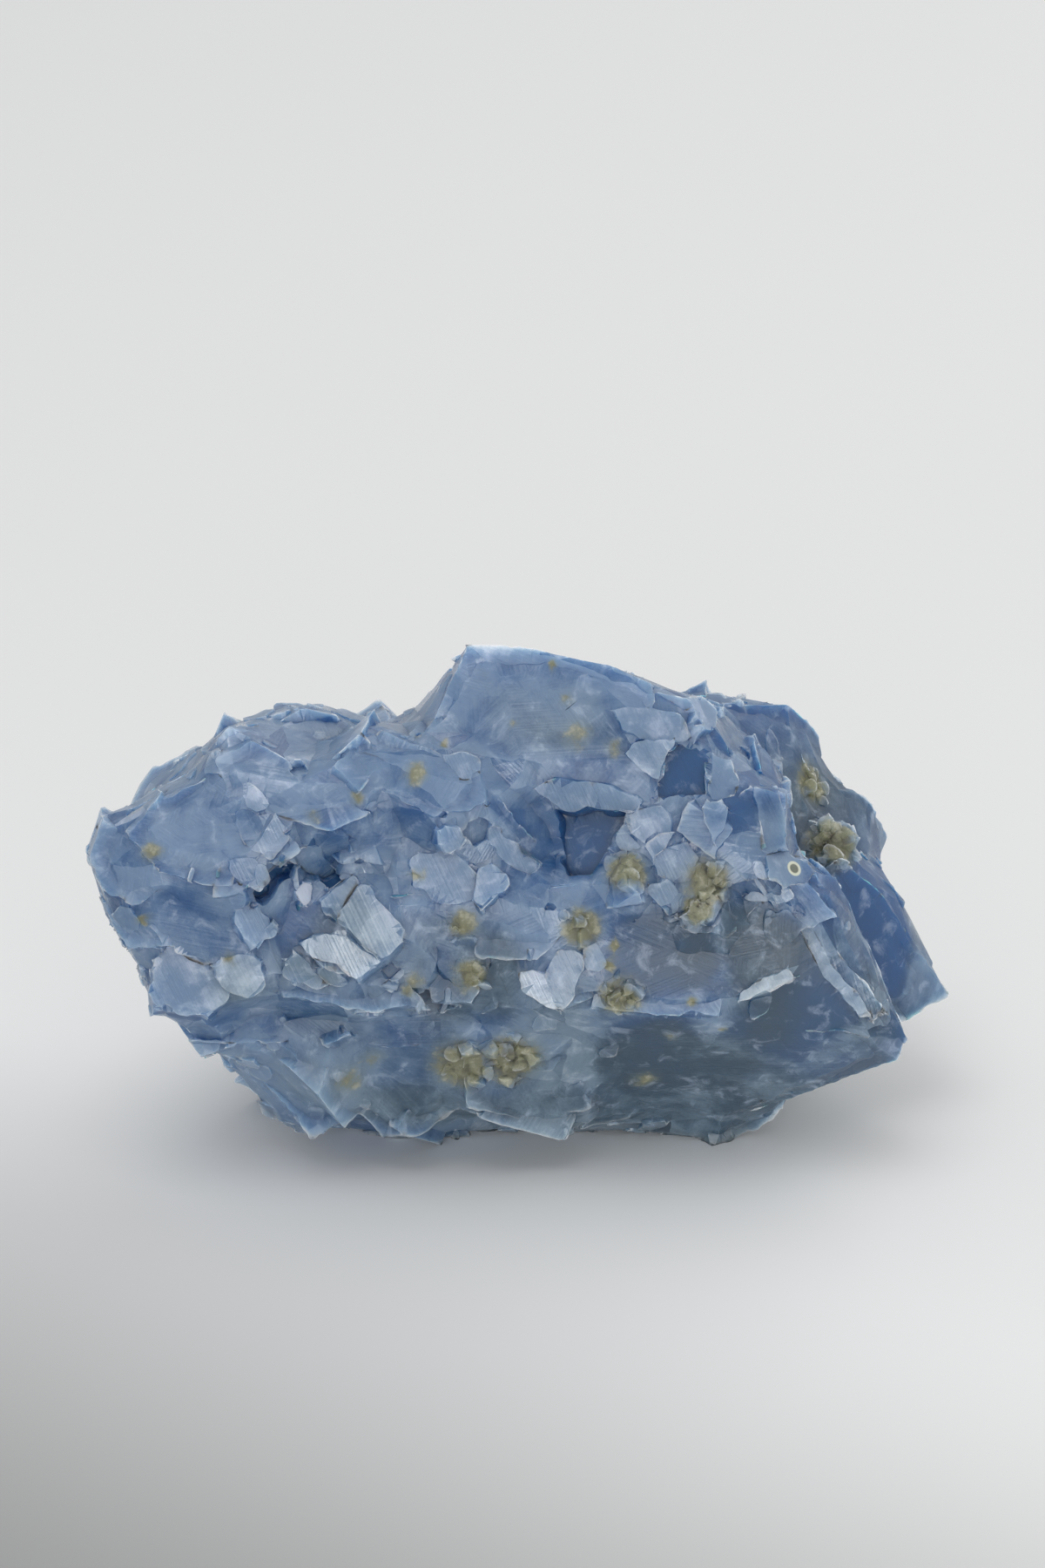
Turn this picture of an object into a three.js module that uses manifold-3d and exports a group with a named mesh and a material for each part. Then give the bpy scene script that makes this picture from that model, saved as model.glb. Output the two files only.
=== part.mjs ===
// A hand specimen of rough blue calcite, broken from a coarse-grained mass.
// The stone is one piece: calcite grains grown together, each broken along its own cleavage
// into flat faces, ledges and corners, with small lumps of an olive mineral grown in between.
// Millimetres, +Z up. +X runs along the stone, -Y is the side with the tall cleavage face.
import * as THREE from "three";
import { ConvexGeometry } from "three/addons/geometries/ConvexGeometry.js";
import { mergeVertices } from "three/addons/utils/BufferGeometryUtils.js";
import Module from "manifold-3d";

// Driving dimensions
const LEFT_END = -33; // where the body of the stone ends on the left, before the tip grains
const RIGHT_END = 36.6; // the point of the rear wedge
const CREST_HEIGHT = 45.1; // the corner of the crest above the resting spot
const FRONT = -16; // how far the front bulges over the resting spot
const BACK = 22; // how far the back reaches behind it
const FLOOR_CUT = 0; // the small flat spot that the stone rests on
const FRONT_LEAN = THREE.MathUtils.degToRad(22); // the front's faces are laid out leaning back
const FRONT_FACE_DEPTH = 5; // how deep a front face's grain goes into the stone
const FRONT_FACE_FLARE = 1.25; // how much wider that grain is at its root
const CLEAVAGE_EDGE_ANGLE = THREE.MathUtils.degToRad(102); // between the edges of a cleavage rhomb
const CHIPPED_CORNERS = 0.3; // the share of a grain's corners that are broken off
const SEED = 20;

// Broken grains that are scattered over the stone: how many, their edges, how proud they stand
// (or how deep their pits are), how far they lean from lying flat on the surface, and whether
// the front has any.
const LARGE_GRAINS = { count: 44, edges: [4.4, 8.0], rise: [0.6, 1.8], lean: 22, front: false };
const SMALL_GRAINS = { count: 52, edges: [2.2, 4.2], rise: [0.3, 0.9], lean: 24, front: true };
const PITS = { count: 18, edges: [3.4, 6.4], rise: [0.8, 1.8], lean: 20, front: false };
const THINNEST_ROOT = 13; // a scattered grain needs this much stone behind it
const SLIVER = 0.04; // corners and faces finer than this are smoothed away

const wasm = await Module();
wasm.setup();

// A repeatable source of random numbers from 0 to 1 (mulberry32).
function randomSource(seed) {
  let state = seed >>> 0;
  return () => {
    state = (state + 0x6d2b79f5) >>> 0;
    let t = state;
    t = Math.imul(t ^ (t >>> 15), t | 1);
    t ^= t + Math.imul(t ^ (t >>> 7), t | 61);
    return ((t ^ (t >>> 14)) >>> 0) / 4294967296;
  };
}
const random = randomSource(SEED);
const between = (low, high) => low + (high - low) * random();

// A closed three.js geometry as a solid for joining and cutting.
function solidOf(geometry) {
  const bare = geometry.clone();
  bare.deleteAttribute("normal");
  bare.deleteAttribute("uv");
  const merged = mergeVertices(bare, 1e-4);
  return new wasm.Manifold(
    new wasm.Mesh({
      numProp: 3,
      vertProperties: merged.attributes.position.array,
      triVerts: new Uint32Array(merged.index.array),
    }),
  );
}

// The geometry of a joined solid, for a mesh.
function geometryOf(solid) {
  const { vertProperties, triVerts } = solid.getMesh();
  const geometry = new THREE.BufferGeometry();
  geometry.setAttribute("position", new THREE.BufferAttribute(vertProperties, 3));
  geometry.setIndex(new THREE.BufferAttribute(triVerts, 1));
  const flat = geometry.toNonIndexed();
  flat.computeVertexNormals();
  return flat;
}

const join = (solids) => solids.reduce((all, next) => all.add(next));
const cut = (solid, cutters) => cutters.reduce((left, next) => left.subtract(next), solid);
const point = ([x, y, z]) => new THREE.Vector3(x, y, z);

// A block of the stone with flat faces between the given corners.
const block = (...corners) => solidOf(new ConvexGeometry(corners.map(point)));

// The three edge directions of a cleavage rhomb, equally inclined to each other.
const rhombSpread = Math.sqrt((1 - Math.cos(CLEAVAGE_EDGE_ANGLE)) / 1.5);
const rhombRise = Math.sqrt(1 - rhombSpread ** 2);
const RHOMB_EDGES = [0, 120, 240].map((degrees) => {
  const turn = THREE.MathUtils.degToRad(degrees);
  return new THREE.Vector3(rhombSpread * Math.cos(turn), rhombSpread * Math.sin(turn), rhombRise);
});

// The cleavage face between the last two edges, and how much of the first edge stands over it.
const CLEAVAGE_NORMAL = RHOMB_EDGES[1].clone().cross(RHOMB_EDGES[2]).normalize();
const EDGE_OVER_FACE = Math.abs(RHOMB_EDGES[0].dot(CLEAVAGE_NORMAL));

// One broken calcite grain: a cleavage rhomb with edges [a, b, c], some corners chipped off,
// centred on the origin and then turned.
function grainGeometry(edges, turn) {
  const steps = RHOMB_EDGES.map((e, i) => e.clone().multiplyScalar(edges[i] / 2));
  const points = [];
  for (const sx of [-1, 1])
    for (const sy of [-1, 1])
      for (const sz of [-1, 1]) {
        const signs = [sx, sy, sz];
        const corner = new THREE.Vector3();
        signs.forEach((s, i) => corner.addScaledVector(steps[i], s));
        if (random() > CHIPPED_CORNERS) points.push(corner);
        else
          signs.forEach((s, i) => {
            points.push(corner.clone().addScaledVector(steps[i], -s * between(0.25, 1.0)));
          });
      }
  return new ConvexGeometry(points.map((p) => p.applyQuaternion(turn)));
}

// A grain placed by hand, turned by Euler angles in degrees.
function grainAt(centre, edges, degrees) {
  const angles = new THREE.Euler(...degrees.map((d) => THREE.MathUtils.degToRad(d)));
  const turn = new THREE.Quaternion().setFromEuler(angles);
  return solidOf(grainGeometry(edges, turn).translate(...centre));
}

// A rounded, knobbly lump of the olive mineral.
function lumpAt(centre, radius) {
  const points = [];
  for (let i = 0; i < 16; i++) {
    const direction = new THREE.Vector3(between(-1, 1), between(-1, 1), between(-1, 1));
    points.push(direction.normalize().multiplyScalar(radius * between(0.8, 1.1)));
  }
  return solidOf(new ConvexGeometry(points).translate(...centre));
}

// The main masses, from the resting spot up.
function mainMasses() {
  const keel = block(
    [-15, 0.5, -1], [12, -1, -1], [16, 9, -1], [6, 17, -1], [-12, 15, -1], [-17, 8, -1],
    [-20, -3.5, 4.5], [-23, -7, 8], [-26.5, -12.5, 13.5], [-10, -13, 13], [7, -11.5, 15.5], [15, -11.5, 15],
    [22.4, -7, 7.3], [23, 8, 6], [10, 19, 9], [-14, 18, 8], [-24, 4, 10],
    [-25, 5, 14], [-13, BACK - 2.5, 14], [11, BACK - 0.5, 15], [24, 11, 13],
  );
  const core = block(
    [-24, -10, 12], [-14, -12.5, 14], [16, -11, 13], [22, -8, 14],
    [-22, -9, 30], [-6, -9, 32], [16, -7, 32], [20, 0, 31],
    [-26, 6, 16], [-12, BACK - 2, 14], [12, BACK, 16], [25, 12, 14],
    [-20, 6, 30], [-4, 13, 32], [12, 12, 33],
  );
  const leftMass = block(
    [LEFT_END + 0.5, -12.5, 31], [LEFT_END + 4.5, -12, 33.5], [-26.3, -9.5, 34.2], [-18, -12, 35.6],
    [-17, -15.5, 27], [-24, FRONT, 29.5], [LEFT_END + 2, -14, 25], [LEFT_END + 4, -14.5, 20.5],
    [-18, -15, 19],
    [-27, 3, 31], [-19, 8, 30], [-29, 0, 21], [-22, 9, 14], [-25, -8, 14],
  );
  const crest = block(
    [-3.7, -5.2, CREST_HEIGHT], [1.4, -5, 44.7], [7.8, -5, 43.2], [11.2, -5.2, 41.7],
    [-7.4, -7.5, 37.5], [-2, -9, 35.6], [3.5, -9.6, 34.4], [11.4, -9.8, 33.2], [11.4, -6, 41],
    [-5.3, 0, 38.7], [-9, 5, 34.4], [0, 7, 37], [9, 8, 35.5], [12, 2, 38],
    [-7, 3, 26], [11, 8, 26], [8, -6, 27],
  );
  const crestStep = block(
    [10.5, -5.5, 41.1], [14.5, -5, 40.2], [16.8, -4, 39.4], [17.8, -4, 36],
    [10, -9, 33.6], [18.3, -8, 32.6], [17, -6, 28], [10, -5, 28],
    [17.5, 6, 35.2], [10, 8, 35], [18, 7, 27], [10, 8, 27],
  );
  const rightFront = block(
    [16.5, -9.6, 33], [20.5, -8.4, 33.4], [22.4, -8.2, 31], [22.6, -9.4, 26], [16.5, -12, 27],
    [17, 2, 34], [22, 2, 32], [22, 0, 25], [17, 0, 25],
  );
  const shoulder = block(
    [15, 3, 35], [17.5, 6, 35.6], [23, 10, 34.1], [25.9, 13, 30], [26.3, 12, 26.5],
    [14, 14, 33], [20, 18, 29], [17, 0, 26], [25, 3, 22], [12, 19, 20], [23, 19, 18],
  );
  const shoulderLump = block(
    [25, 8, 27.4], [28.5, 11, 26], [30.5, 12, 24.1], [32, 15, 20.4], [31, 12.5, 18.8],
    [24, 17, 25], [27, 20, 20], [24, 4, 22], [29, 4, 17], [22, 8, 12], [28, 18, 12], [20, 19, 10],
  );
  const rearWedge = block(
    [27, 0, 24], [30.5, 1.5, 20.6], [33.2, 2.2, 16.4], [RIGHT_END, 2, 10.9], [32.9, -0.5, 9.9],
    [24, -3, 8.6], [22, -2, 22], [31, 10, 19], [34.4, 10.5, 12], [29, 12, 9.4], [20, 10, 7], [20, 10, 22],
  );
  const prow = block(
    [20.5, -12.6, 26], [24.5, -10.5, 27.5], [26.6, -8, 25.6], [29.4, -9.5, 18.6], [32.3, -11, 12.7],
    [31.5, -11.2, 11.1], [26.6, -8.4, 7.8], [18.9, -4.2, 3.2], [12, -1.5, -1], [12, -12.4, 15],
    [16.5, -13.6, 16], [17, -13.5, 23], [29, -13, 14], [24, 0, 24], [27, 0, 9], [13, 8, -1],
  );
  const browMass = block(
    [-16, -9, 36], [-9.5, -6, 36.2], [-7, -9.4, 37.4], [-1, -11, 34], [2, -10.6, 30],
    [-6, -12.4, 29], [-14, -13.4, 29.6], [-19, -10, 33], [-15, 2, 35.4], [-9, 5, 34.6],
    [2, -3, 28], [-14, -3, 26],
  );
  const middle = block(
    [-20, -14.4, 20], [-19, -14.6, 26.5], [-9, -13.6, 27], [0, -13.4, 27.4], [10, -12.8, 27.6],
    [18, -12.6, 24], [17.6, -13, 15.6], [0, -12.6, 15.6], [-9, -13.6, 17], [18, -4, 16],
    [18, -4, 26], [-20, -4, 16], [-20, -4, 28],
  );
  const topLeft = block(
    [-24.4, -9, 36], [-24, -9, 38.2], [-22.9, -8.8, 39.4], [-19.6, -7.5, 38.2], [-15.5, -8, 35.8],
    [-25.4, -7, 33], [-17, -11.5, 33], [-24, 2, 35], [-17, 0, 36.6], [-24, -4, 28], [-15, -4, 28],
  );
  const paleTop = block(
    [-20.6, -5, 37.6], [-17.2, -3.4, 39], [-14.6, -2.8, 38.2], [-12.6, -1, 35.8],
    [-19.6, 3, 37], [-14, 4, 35.8], [-21, -2, 31], [-12, -2, 31], [-16, 5, 30],
  );
  return [
    keel, core, leftMass, crest, crestStep, rightFront, shoulder, shoulderLump, rearWedge,
    prow, browMass, middle, topLeft, paleTop,
  ];
}

// The faces of the front that are known one by one. Each is a broken grain with a flat front:
// how proud it stands of the mass behind it, how its face leans, as depth gained per millimetre
// across and per millimetre up, and its outline across and up the leaning front.
const FRONT_FACES = {
  tipSlab: { rise: 0.9, lean: [-0.3, 0.15], outline: [
    [-34, 23], [-33, 26], [-29.5, 23.5], [-27.5, 20.5], [-30.5, 19], [-33, 20.5],
  ] },
  leftSide: { rise: 0.8, lean: [-0.4, 0], outline: [
    [-33, 19], [-30, 19.5], [-27.5, 17.5], [-28, 15.5], [-31, 15.5],
  ] },
  upperLeft: { rise: 0.9, lean: [-0.1, 0.25], outline: [
    [-31, 25], [-28.5, 27.5], [-24.5, 29], [-22, 25], [-22.5, 20.5], [-28, 21.5],
  ] },
  leftHollow: { rise: 0.3, lean: [0.12, -0.1], outline: [
    [-28, 20.5], [-22.5, 19], [-21.5, 15.5], [-27.5, 15], [-29, 17.5],
  ] },
  paleLobe: { rise: 1.5, lean: [-0.15, -0.1], outline: [
    [-29.5, 15], [-27.5, 16], [-24, 14], [-22.5, 12], [-24.5, 10], [-29, 10.5],
  ] },
  smallLobe: { rise: 1.6, lean: [0.1, 0.05], outline: [
    [-24, 14], [-20.5, 15.5], [-20, 14], [-21, 12], [-23.5, 12.5],
  ] },
  slotChip: { rise: 1.1, lean: [0.2, 0.1], outline: [
    [-22, 18], [-21, 19], [-19, 17.5], [-20.5, 15.5], [-21.5, 16],
  ] },
  roundFacet: { rise: 1.0, lean: [0.15, 0.2], outline: [
    [-23, 22], [-22, 23], [-20, 22.5], [-19.5, 21.5], [-21.5, 20.5],
  ] },
  heart: { rise: 1.0, lean: [0.2, 0.3], outline: [
    [-22.5, 26], [-19.5, 26.5], [-21.5, 24],
  ] },
  stripedFace: { rise: 0.9, lean: [-0.1, 0.3], outline: [
    [-21.5, 23.5], [-19.5, 26.5], [-17, 23.5], [-18.5, 22.5],
  ] },
  lowerLump: { rise: 1.5, lean: [-0.15, -0.3], outline: [
    [-27.5, 9.5], [-26.5, 10.5], [-23, 9], [-22.5, 7.5], [-25.5, 6.5],
  ] },
  blueFacet: { rise: 0.9, lean: [0.1, -0.4], outline: [
    [-24.5, 10], [-23, 12], [-20, 11.5], [-18, 9.5], [-20.5, 8], [-22.5, 8],
  ] },
  silverTop: { rise: 1.5, lean: [0.3, 0.35], outline: [
    [-15.5, 19.5], [-13, 21.5], [-9.5, 18], [-9, 16], [-11, 14.5], [-12.5, 16],
  ] },
  silverLedge: { rise: 1.9, lean: [0.15, 0.3], outline: [
    [-17, 16], [-15.5, 17], [-13, 17], [-11, 14.5], [-12, 13], [-15.5, 14],
  ] },
  silverFoot: { rise: 1.3, lean: [-0.1, 0.25], outline: [
    [-20, 13.5], [-17.5, 15], [-12, 13.5], [-8.5, 12.5], [-7, 10.5], [-12, 10.5], [-18.5, 11.5],
  ] },
  windowChip: { rise: 1.3, lean: [0.1, 0.3], outline: [
    [-17.5, 20], [-17, 21], [-16, 20.5], [-16.5, 19], [-17.3, 19.3],
  ] },
  browLeft: { rise: 0.8, lean: [0.05, 0.35], outline: [
    [-24, 31], [-21, 32], [-15.5, 29], [-11.5, 26.5], [-14.5, 25], [-23, 27.5],
  ] },
  browMiddle: { rise: 0.8, lean: [0.1, 0.3], outline: [
    [-13.5, 30], [-10.5, 33], [-6.5, 31.5], [-2.5, 29.5], [-2, 27], [-6.5, 26],
  ] },
  browChip: { rise: 1.2, lean: [0.1, 0.2], outline: [
    [-6.5, 27], [-5, 27.5], [-4, 26], [-5, 23], [-6, 24],
  ] },
  middleChip: { rise: 1.3, lean: [-0.1, 0.1], outline: [
    [-8.5, 22.5], [-7, 23.5], [-3.5, 22.5], [-3, 21], [-4.5, 19], [-7.5, 20],
  ] },
  narrowChip: { rise: 1.3, lean: [0.1, 0.1], outline: [
    [-3.5, 19.5], [-2, 22.5], [-0.5, 20.5], [-2.5, 18.5],
  ] },
  whiteShard: { rise: 2.4, lean: [0, 0.25], outline: [
    [-2, 24.5], [-1, 25], [2, 22.5], [0.5, 21.5], [-1, 22.5],
  ] },
  mottledFace: { rise: 1.2, lean: [0.05, 0.05], outline: [
    [-3, 18.5], [0, 19.5], [3.5, 19], [4, 16.5], [2, 14.5], [-3, 15],
  ] },
  greyFace: { rise: 1.1, lean: [-0.1, 0], outline: [
    [-7.5, 15.5], [-6, 16.5], [-2, 14], [-3.5, 11], [-6.5, 11],
  ] },
  prismLeft: { rise: 1.6, lean: [-0.3, 0.1], outline: [
    [0.5, 13.5], [3.5, 15.5], [4.5, 13], [4, 10.5], [2, 11],
  ] },
  prismRight: { rise: 1.6, lean: [0.35, 0], outline: [
    [3.5, 15.5], [6.5, 15], [6.5, 11.5], [4, 10.5],
  ] },
  darkPlate: { rise: 1.0, lean: [0.05, -0.05], outline: [
    [7, 16.5], [9, 18], [14, 17.5], [17, 15.5], [16.5, 10], [13, 11], [6.5, 10.5],
  ] },
  tooth: { rise: 3.4, lean: [0, 0.1], outline: [
    [15, 27.5], [17, 27], [17, 24.5], [15.5, 24.5],
  ] },
  rightFacet: { rise: 1.0, lean: [0.2, 0.1], outline: [
    [17.5, 27], [19, 28.5], [22, 28], [22, 21.5], [19, 21], [17.5, 22.5],
  ] },
  oliveNest: { rise: 3.2, lean: [0, 0.15], outline: [
    [8, 25], [10, 26.5], [12.5, 26], [14, 24], [12.5, 22], [9, 21.5], [7.5, 23.5],
  ] },
  oliveLedge: { rise: 1.4, lean: [0.1, -0.1], outline: [
    [11, 21.5], [13.5, 23], [16, 21.5], [14.5, 19.5], [11, 19.5],
  ] },
  rightLedge: { rise: 0.7, lean: [0.15, 0], outline: [
    [19.5, 21], [23.5, 21], [26, 18], [24, 17], [20.5, 19],
  ] },
  prowRidge: { rise: 0.8, lean: [0.3, -0.1], outline: [
    [22, 19], [23.5, 18.5], [30, 10.5], [29, 9.5], [24, 15.5],
  ] },
  prowStrip: { rise: 0.8, lean: [0.05, 0.1], outline: [
    [18.5, 11.5], [20, 13], [23, 14], [23.5, 13.5], [21, 12],
  ] },
  topRight: { rise: 0.9, lean: [0.2, 0.15], outline: [
    [18, 31], [20, 31.5], [20.5, 28.5], [18.5, 26], [17.5, 28.5],
  ] },
  crestFlake: { rise: 0.5, lean: [0.1, 0.15], outline: [
    [9, 33], [12, 32.5], [11.7, 29.5], [10.2, 31],
  ] },
};

// The faces of the front as grains, each set on the mass behind it.
function frontGrains(mass) {
  const mesh = new THREE.Mesh(geometryOf(mass));
  const caster = new THREE.Raycaster();
  const leaning = new THREE.Matrix4().makeRotationX(-FRONT_LEAN);
  const inwards = new THREE.Vector3(0, 1, 0).applyMatrix4(leaning);
  const startDepth = -100;
  return Object.values(FRONT_FACES).map(({ rise, lean: [leanAcross, leanUp], outline }) => {
    const middle = outline.reduce(([u, v], [a, b]) => [u + a, v + b]).map((sum) => sum / outline.length);
    const start = new THREE.Vector3(middle[0], startDepth, middle[1]).applyMatrix4(leaning);
    caster.set(start, inwards);
    const depth = startDepth + caster.intersectObject(mesh)[0].distance;
    const points = outline.flatMap(([u, v]) => {
      const across = u - middle[0];
      const up = v - middle[1];
      const front = new THREE.Vector3(u, depth - rise + leanAcross * across + leanUp * up, v);
      const root = new THREE.Vector3(
        middle[0] + across * FRONT_FACE_FLARE,
        depth + FRONT_FACE_DEPTH,
        middle[1] + up * FRONT_FACE_FLARE,
      );
      return [front, root];
    });
    return solidOf(new ConvexGeometry(points).applyMatrix4(leaning));
  });
}

// Grains of the under side in front of the resting spot, and of the back.
function lowAndBackGrains() {
  return [
    grainAt([-15.0, -8.6, 10.6], [8.0, 6.5, 6.5], [25, 40, 65]),
    grainAt([-8.4, -8.0, 9.6], [9.0, 6.5, 7.0], [60, 10, 30]),
    grainAt([-0.6, -7.6, 9.6], [8.0, 7.0, 6.0], [35, 55, 5]),
    grainAt([-17.0, -4.4, 6.4], [7.5, 7.0, 6.0], [10, 20, 45]),
    grainAt([5.6, -5.6, 7.2], [7.0, 6.0, 6.0], [70, 35, 15]),
    grainAt([-9.0, -3.8, 5.0], [8.0, 6.0, 5.0], [15, 75, 30]),
    grainAt([-12.0, 11.5, 23.0], [15.0, 13.0, 12.0], [20, 10, 35]),
    grainAt([5.0, 12.0, 25.0], [14.0, 13.0, 13.0], [50, 20, 10]),
    grainAt([-20.5, 3.0, 22.0], [12.0, 11.0, 12.0], [10, 40, 60]),
    grainAt([15.0, 12.0, 18.0], [14.0, 12.0, 13.0], [30, 60, 20]),
    grainAt([-1.0, 13.5, 12.0], [15.0, 13.0, 11.0], [70, 15, 40]),
  ];
}

// Hollows in the front where grains have come out.
function frontPits() {
  return [
    grainAt([4.4, -13.0, 30.8], [9.0, 5.0, 5.0], [30, 10, 30]), // under the crest
    grainAt([-1.6, -13.6, 30.6], [6.0, 4.0, 4.0], [60, 30, 0]),
    grainAt([-18.2, -16.6, 26.2], [3.2, 6.5, 5.0], [25, 55, 35]), // the deep slot on the left
    grainAt([-9.6, -15.0, 29.4], [9.0, 3.6, 4.0], [15, 25, 80]), // the dark band
    grainAt([-8.0, -15.0, 15.4], [11.0, 4.2, 4.0], [35, 5, 75]), // under the silvery slab
    grainAt([20.6, -4.0, 34.4], [6.0, 5.0, 6.0], [40, 10, 15]), // between crest and shoulder
    grainAt([24.8, -4.6, 27.8], [5.0, 4.6, 6.0], [20, 60, 25]),
  ];
}

// Lumps of the olive mineral that stand proud of the calcite.
function oliveLumps() {
  return [
    lumpAt([9.0, -13.2, 27.4], 2.2),
    lumpAt([15.0, -13.2, 25.6], 2.4),
    lumpAt([16.8, -12.9, 24.2], 1.8),
    lumpAt([5.6, -13.4, 24.2], 1.9),
    lumpAt([-3.8, -14.4, 23.0], 1.5),
    lumpAt([-2.6, -13.8, 18.6], 1.8),
    lumpAt([2.0, -10.2, 12.0], 2.4),
    lumpAt([26.6, 3.4, 24.4], 2.2),
    lumpAt([27.8, 4.8, 21.6], 2.0),
    lumpAt([-14.0, -1.8, 2.6], 1.8),
    lumpAt([8.0, 19.8, 20.0], 2.4),
    lumpAt([-12.0, 18.0, 17.0], 2.1),
    lumpAt([-22.0, 7.6, 22.0], 2.0),
    lumpAt([4.0, 10.2, 34.0], 1.9),
  ];
}

// Broad faces that stay whole: no scattered grains grow on them. Each is [centre, radius].
const PLAIN_FACES = [
  [[-2, -7, 41], 6.5], // the face of the crest, up to its top edge
  [[5, -7.5, 39.5], 6.5],
  [[12.5, -7, 37], 5.5],
  [[2, 2, 40], 7.0],
  [[10, 2, 39], 5.0],
  [[-21, -8, 37], 6.0], // the outline of the upper left
  [[-28, -12, 31], 6.0],
  [[-29, -12, 19], 6.5], // the outline of the lower left
  [[29, 13, 24], 8.0], // the outline of the shoulder
  [[22, 9, 34], 5.0],
  [[24.5, -11.5, 14], 8.0], // the prow
  [[30.5, -11.5, 12], 5.0],
  [[19.5, -8, 8.5], 7.0], // the under side on the right
  [[11.5, -7.5, 9], 7.0],
  [[12, -14, 20], 5.5], // the dark plate
  [[33, 1.5, 13], 7.0], // the rear wedge
  [[29, 0.5, 19], 5.0],
  [[-13, -16, 24], 6.0], // the silvery slab
].map(([centre, radius]) => new THREE.Sphere(point(centre), radius));

// Places on the surface of a solid, found by rays shot at it from all round. Thin edges and
// slanting hits are passed over, so that no grain breaks the outline.
function* placesOn(solid, count, front) {
  const mesh = new THREE.Mesh(geometryOf(solid));
  const reach = 80;
  const caster = new THREE.Raycaster();
  for (let found = 0; found < count; ) {
    const direction = new THREE.Vector3(between(-1, 1), between(-1, 1), between(-1, 1)).normalize();
    const aim = new THREE.Vector3(between(-20, 22), between(-6, 10), between(10, 30));
    caster.set(aim.clone().addScaledVector(direction, reach), direction.negate());
    const [hit, exit] = caster.intersectObject(mesh);
    if (!exit || exit.distance - hit.distance < THINNEST_ROOT) continue;
    const out = hit.face.normal;
    if (-out.dot(caster.ray.direction) < 0.7 || (!front && out.y < -0.3)) continue;
    if (PLAIN_FACES.some((face) => face.containsPoint(hit.point))) continue;
    found += 1;
    yield { at: hit.point, out: out.clone() };
  }
}

// A turn that lays a grain's cleavage face along the surface, give or take a lean in degrees.
function layingTurn(out, lean) {
  const across = new THREE.Vector3(between(-1, 1), between(-1, 1), between(-1, 1)).cross(out).normalize();
  const flat = new THREE.Quaternion().setFromUnitVectors(CLEAVAGE_NORMAL, out);
  const tip = new THREE.Quaternion().setFromAxisAngle(across, THREE.MathUtils.degToRad(between(-lean, lean)));
  const spin = new THREE.Quaternion().setFromAxisAngle(out, between(0, 2 * Math.PI));
  return spin.multiply(tip).multiply(flat);
}

// Broken grains lying in the surface: standing out of it, or in the air over it as pit cutters.
function scattered(solid, { count, edges: [low, high], rise, lean, front }, side) {
  return [...placesOn(solid, count, front)].map(({ at, out }) => {
    const edges = [0, 1, 2].map(() => between(low, high));
    const sunk = (edges[0] / 2) * EDGE_OVER_FACE - between(...rise);
    const centre = at.addScaledVector(out, -side * sunk);
    return solidOf(grainGeometry(edges, layingTurn(out, lean)).translate(...centre));
  });
}

const masses = join(mainMasses());
const faced = join([masses, ...frontGrains(masses), ...lowAndBackGrains()]);
const pitted = cut(faced, [...frontPits(), ...scattered(faced, PITS, -1)]);
const grained = join([pitted, ...scattered(pitted, LARGE_GRAINS, 1)]);
const grown = join([grained, ...scattered(grained, SMALL_GRAINS, 1), ...oliveLumps()]);

// The resting spot: everything below the floor is cut away.
const SPACE = 200;
const above = solidOf(
  new THREE.BoxGeometry(SPACE, SPACE, SPACE).translate(0, 0, FLOOR_CUT + SPACE / 2),
);
const pieces = grown.intersect(above).simplify(SLIVER).decompose();
const stone = pieces.reduce((most, next) => (next.volume() > most.volume() ? next : most));

// The origin is under the middle of the stone, on the surface that it rests on.
const geometry = geometryOf(stone);
geometry.computeBoundingBox();
const box = geometry.boundingBox;
geometry.translate(-(box.min.x + box.max.x) / 2, -(box.min.y + box.max.y) / 2, -box.min.z);

const calcite = new THREE.Mesh(
  geometry,
  new THREE.MeshStandardMaterial({ color: 0x7e97bb, roughness: 0.42, metalness: 0 }),
);
calcite.name = "blue_calcite";

const specimen = new THREE.Group();
specimen.add(calcite);

export default specimen;
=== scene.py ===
"""A rough blue calcite specimen on a pale studio floor: the finish of its broken surface."""

import itertools
import math
import random

import bmesh
import bpy
import numpy as np
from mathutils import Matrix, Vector
from mathutils.bvhtree import BVHTree


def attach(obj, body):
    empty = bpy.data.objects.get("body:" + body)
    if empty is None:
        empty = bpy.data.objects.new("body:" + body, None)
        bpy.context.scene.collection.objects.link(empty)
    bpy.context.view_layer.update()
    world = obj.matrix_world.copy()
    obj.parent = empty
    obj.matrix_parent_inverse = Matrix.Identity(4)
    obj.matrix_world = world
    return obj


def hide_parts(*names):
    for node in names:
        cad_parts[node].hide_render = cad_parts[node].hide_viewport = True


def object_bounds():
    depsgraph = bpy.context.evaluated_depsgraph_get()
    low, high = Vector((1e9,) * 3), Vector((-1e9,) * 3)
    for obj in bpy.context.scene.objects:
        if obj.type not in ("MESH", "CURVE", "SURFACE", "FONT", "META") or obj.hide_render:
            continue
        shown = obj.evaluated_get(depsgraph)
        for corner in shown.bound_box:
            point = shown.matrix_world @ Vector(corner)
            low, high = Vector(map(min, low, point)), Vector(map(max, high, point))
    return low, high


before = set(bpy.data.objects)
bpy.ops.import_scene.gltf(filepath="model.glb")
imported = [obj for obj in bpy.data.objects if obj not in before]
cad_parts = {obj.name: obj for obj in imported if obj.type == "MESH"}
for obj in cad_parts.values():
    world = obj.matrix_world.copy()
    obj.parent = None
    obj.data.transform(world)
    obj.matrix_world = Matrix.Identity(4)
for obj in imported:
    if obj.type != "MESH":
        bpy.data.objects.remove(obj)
cad_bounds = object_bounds()

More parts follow.
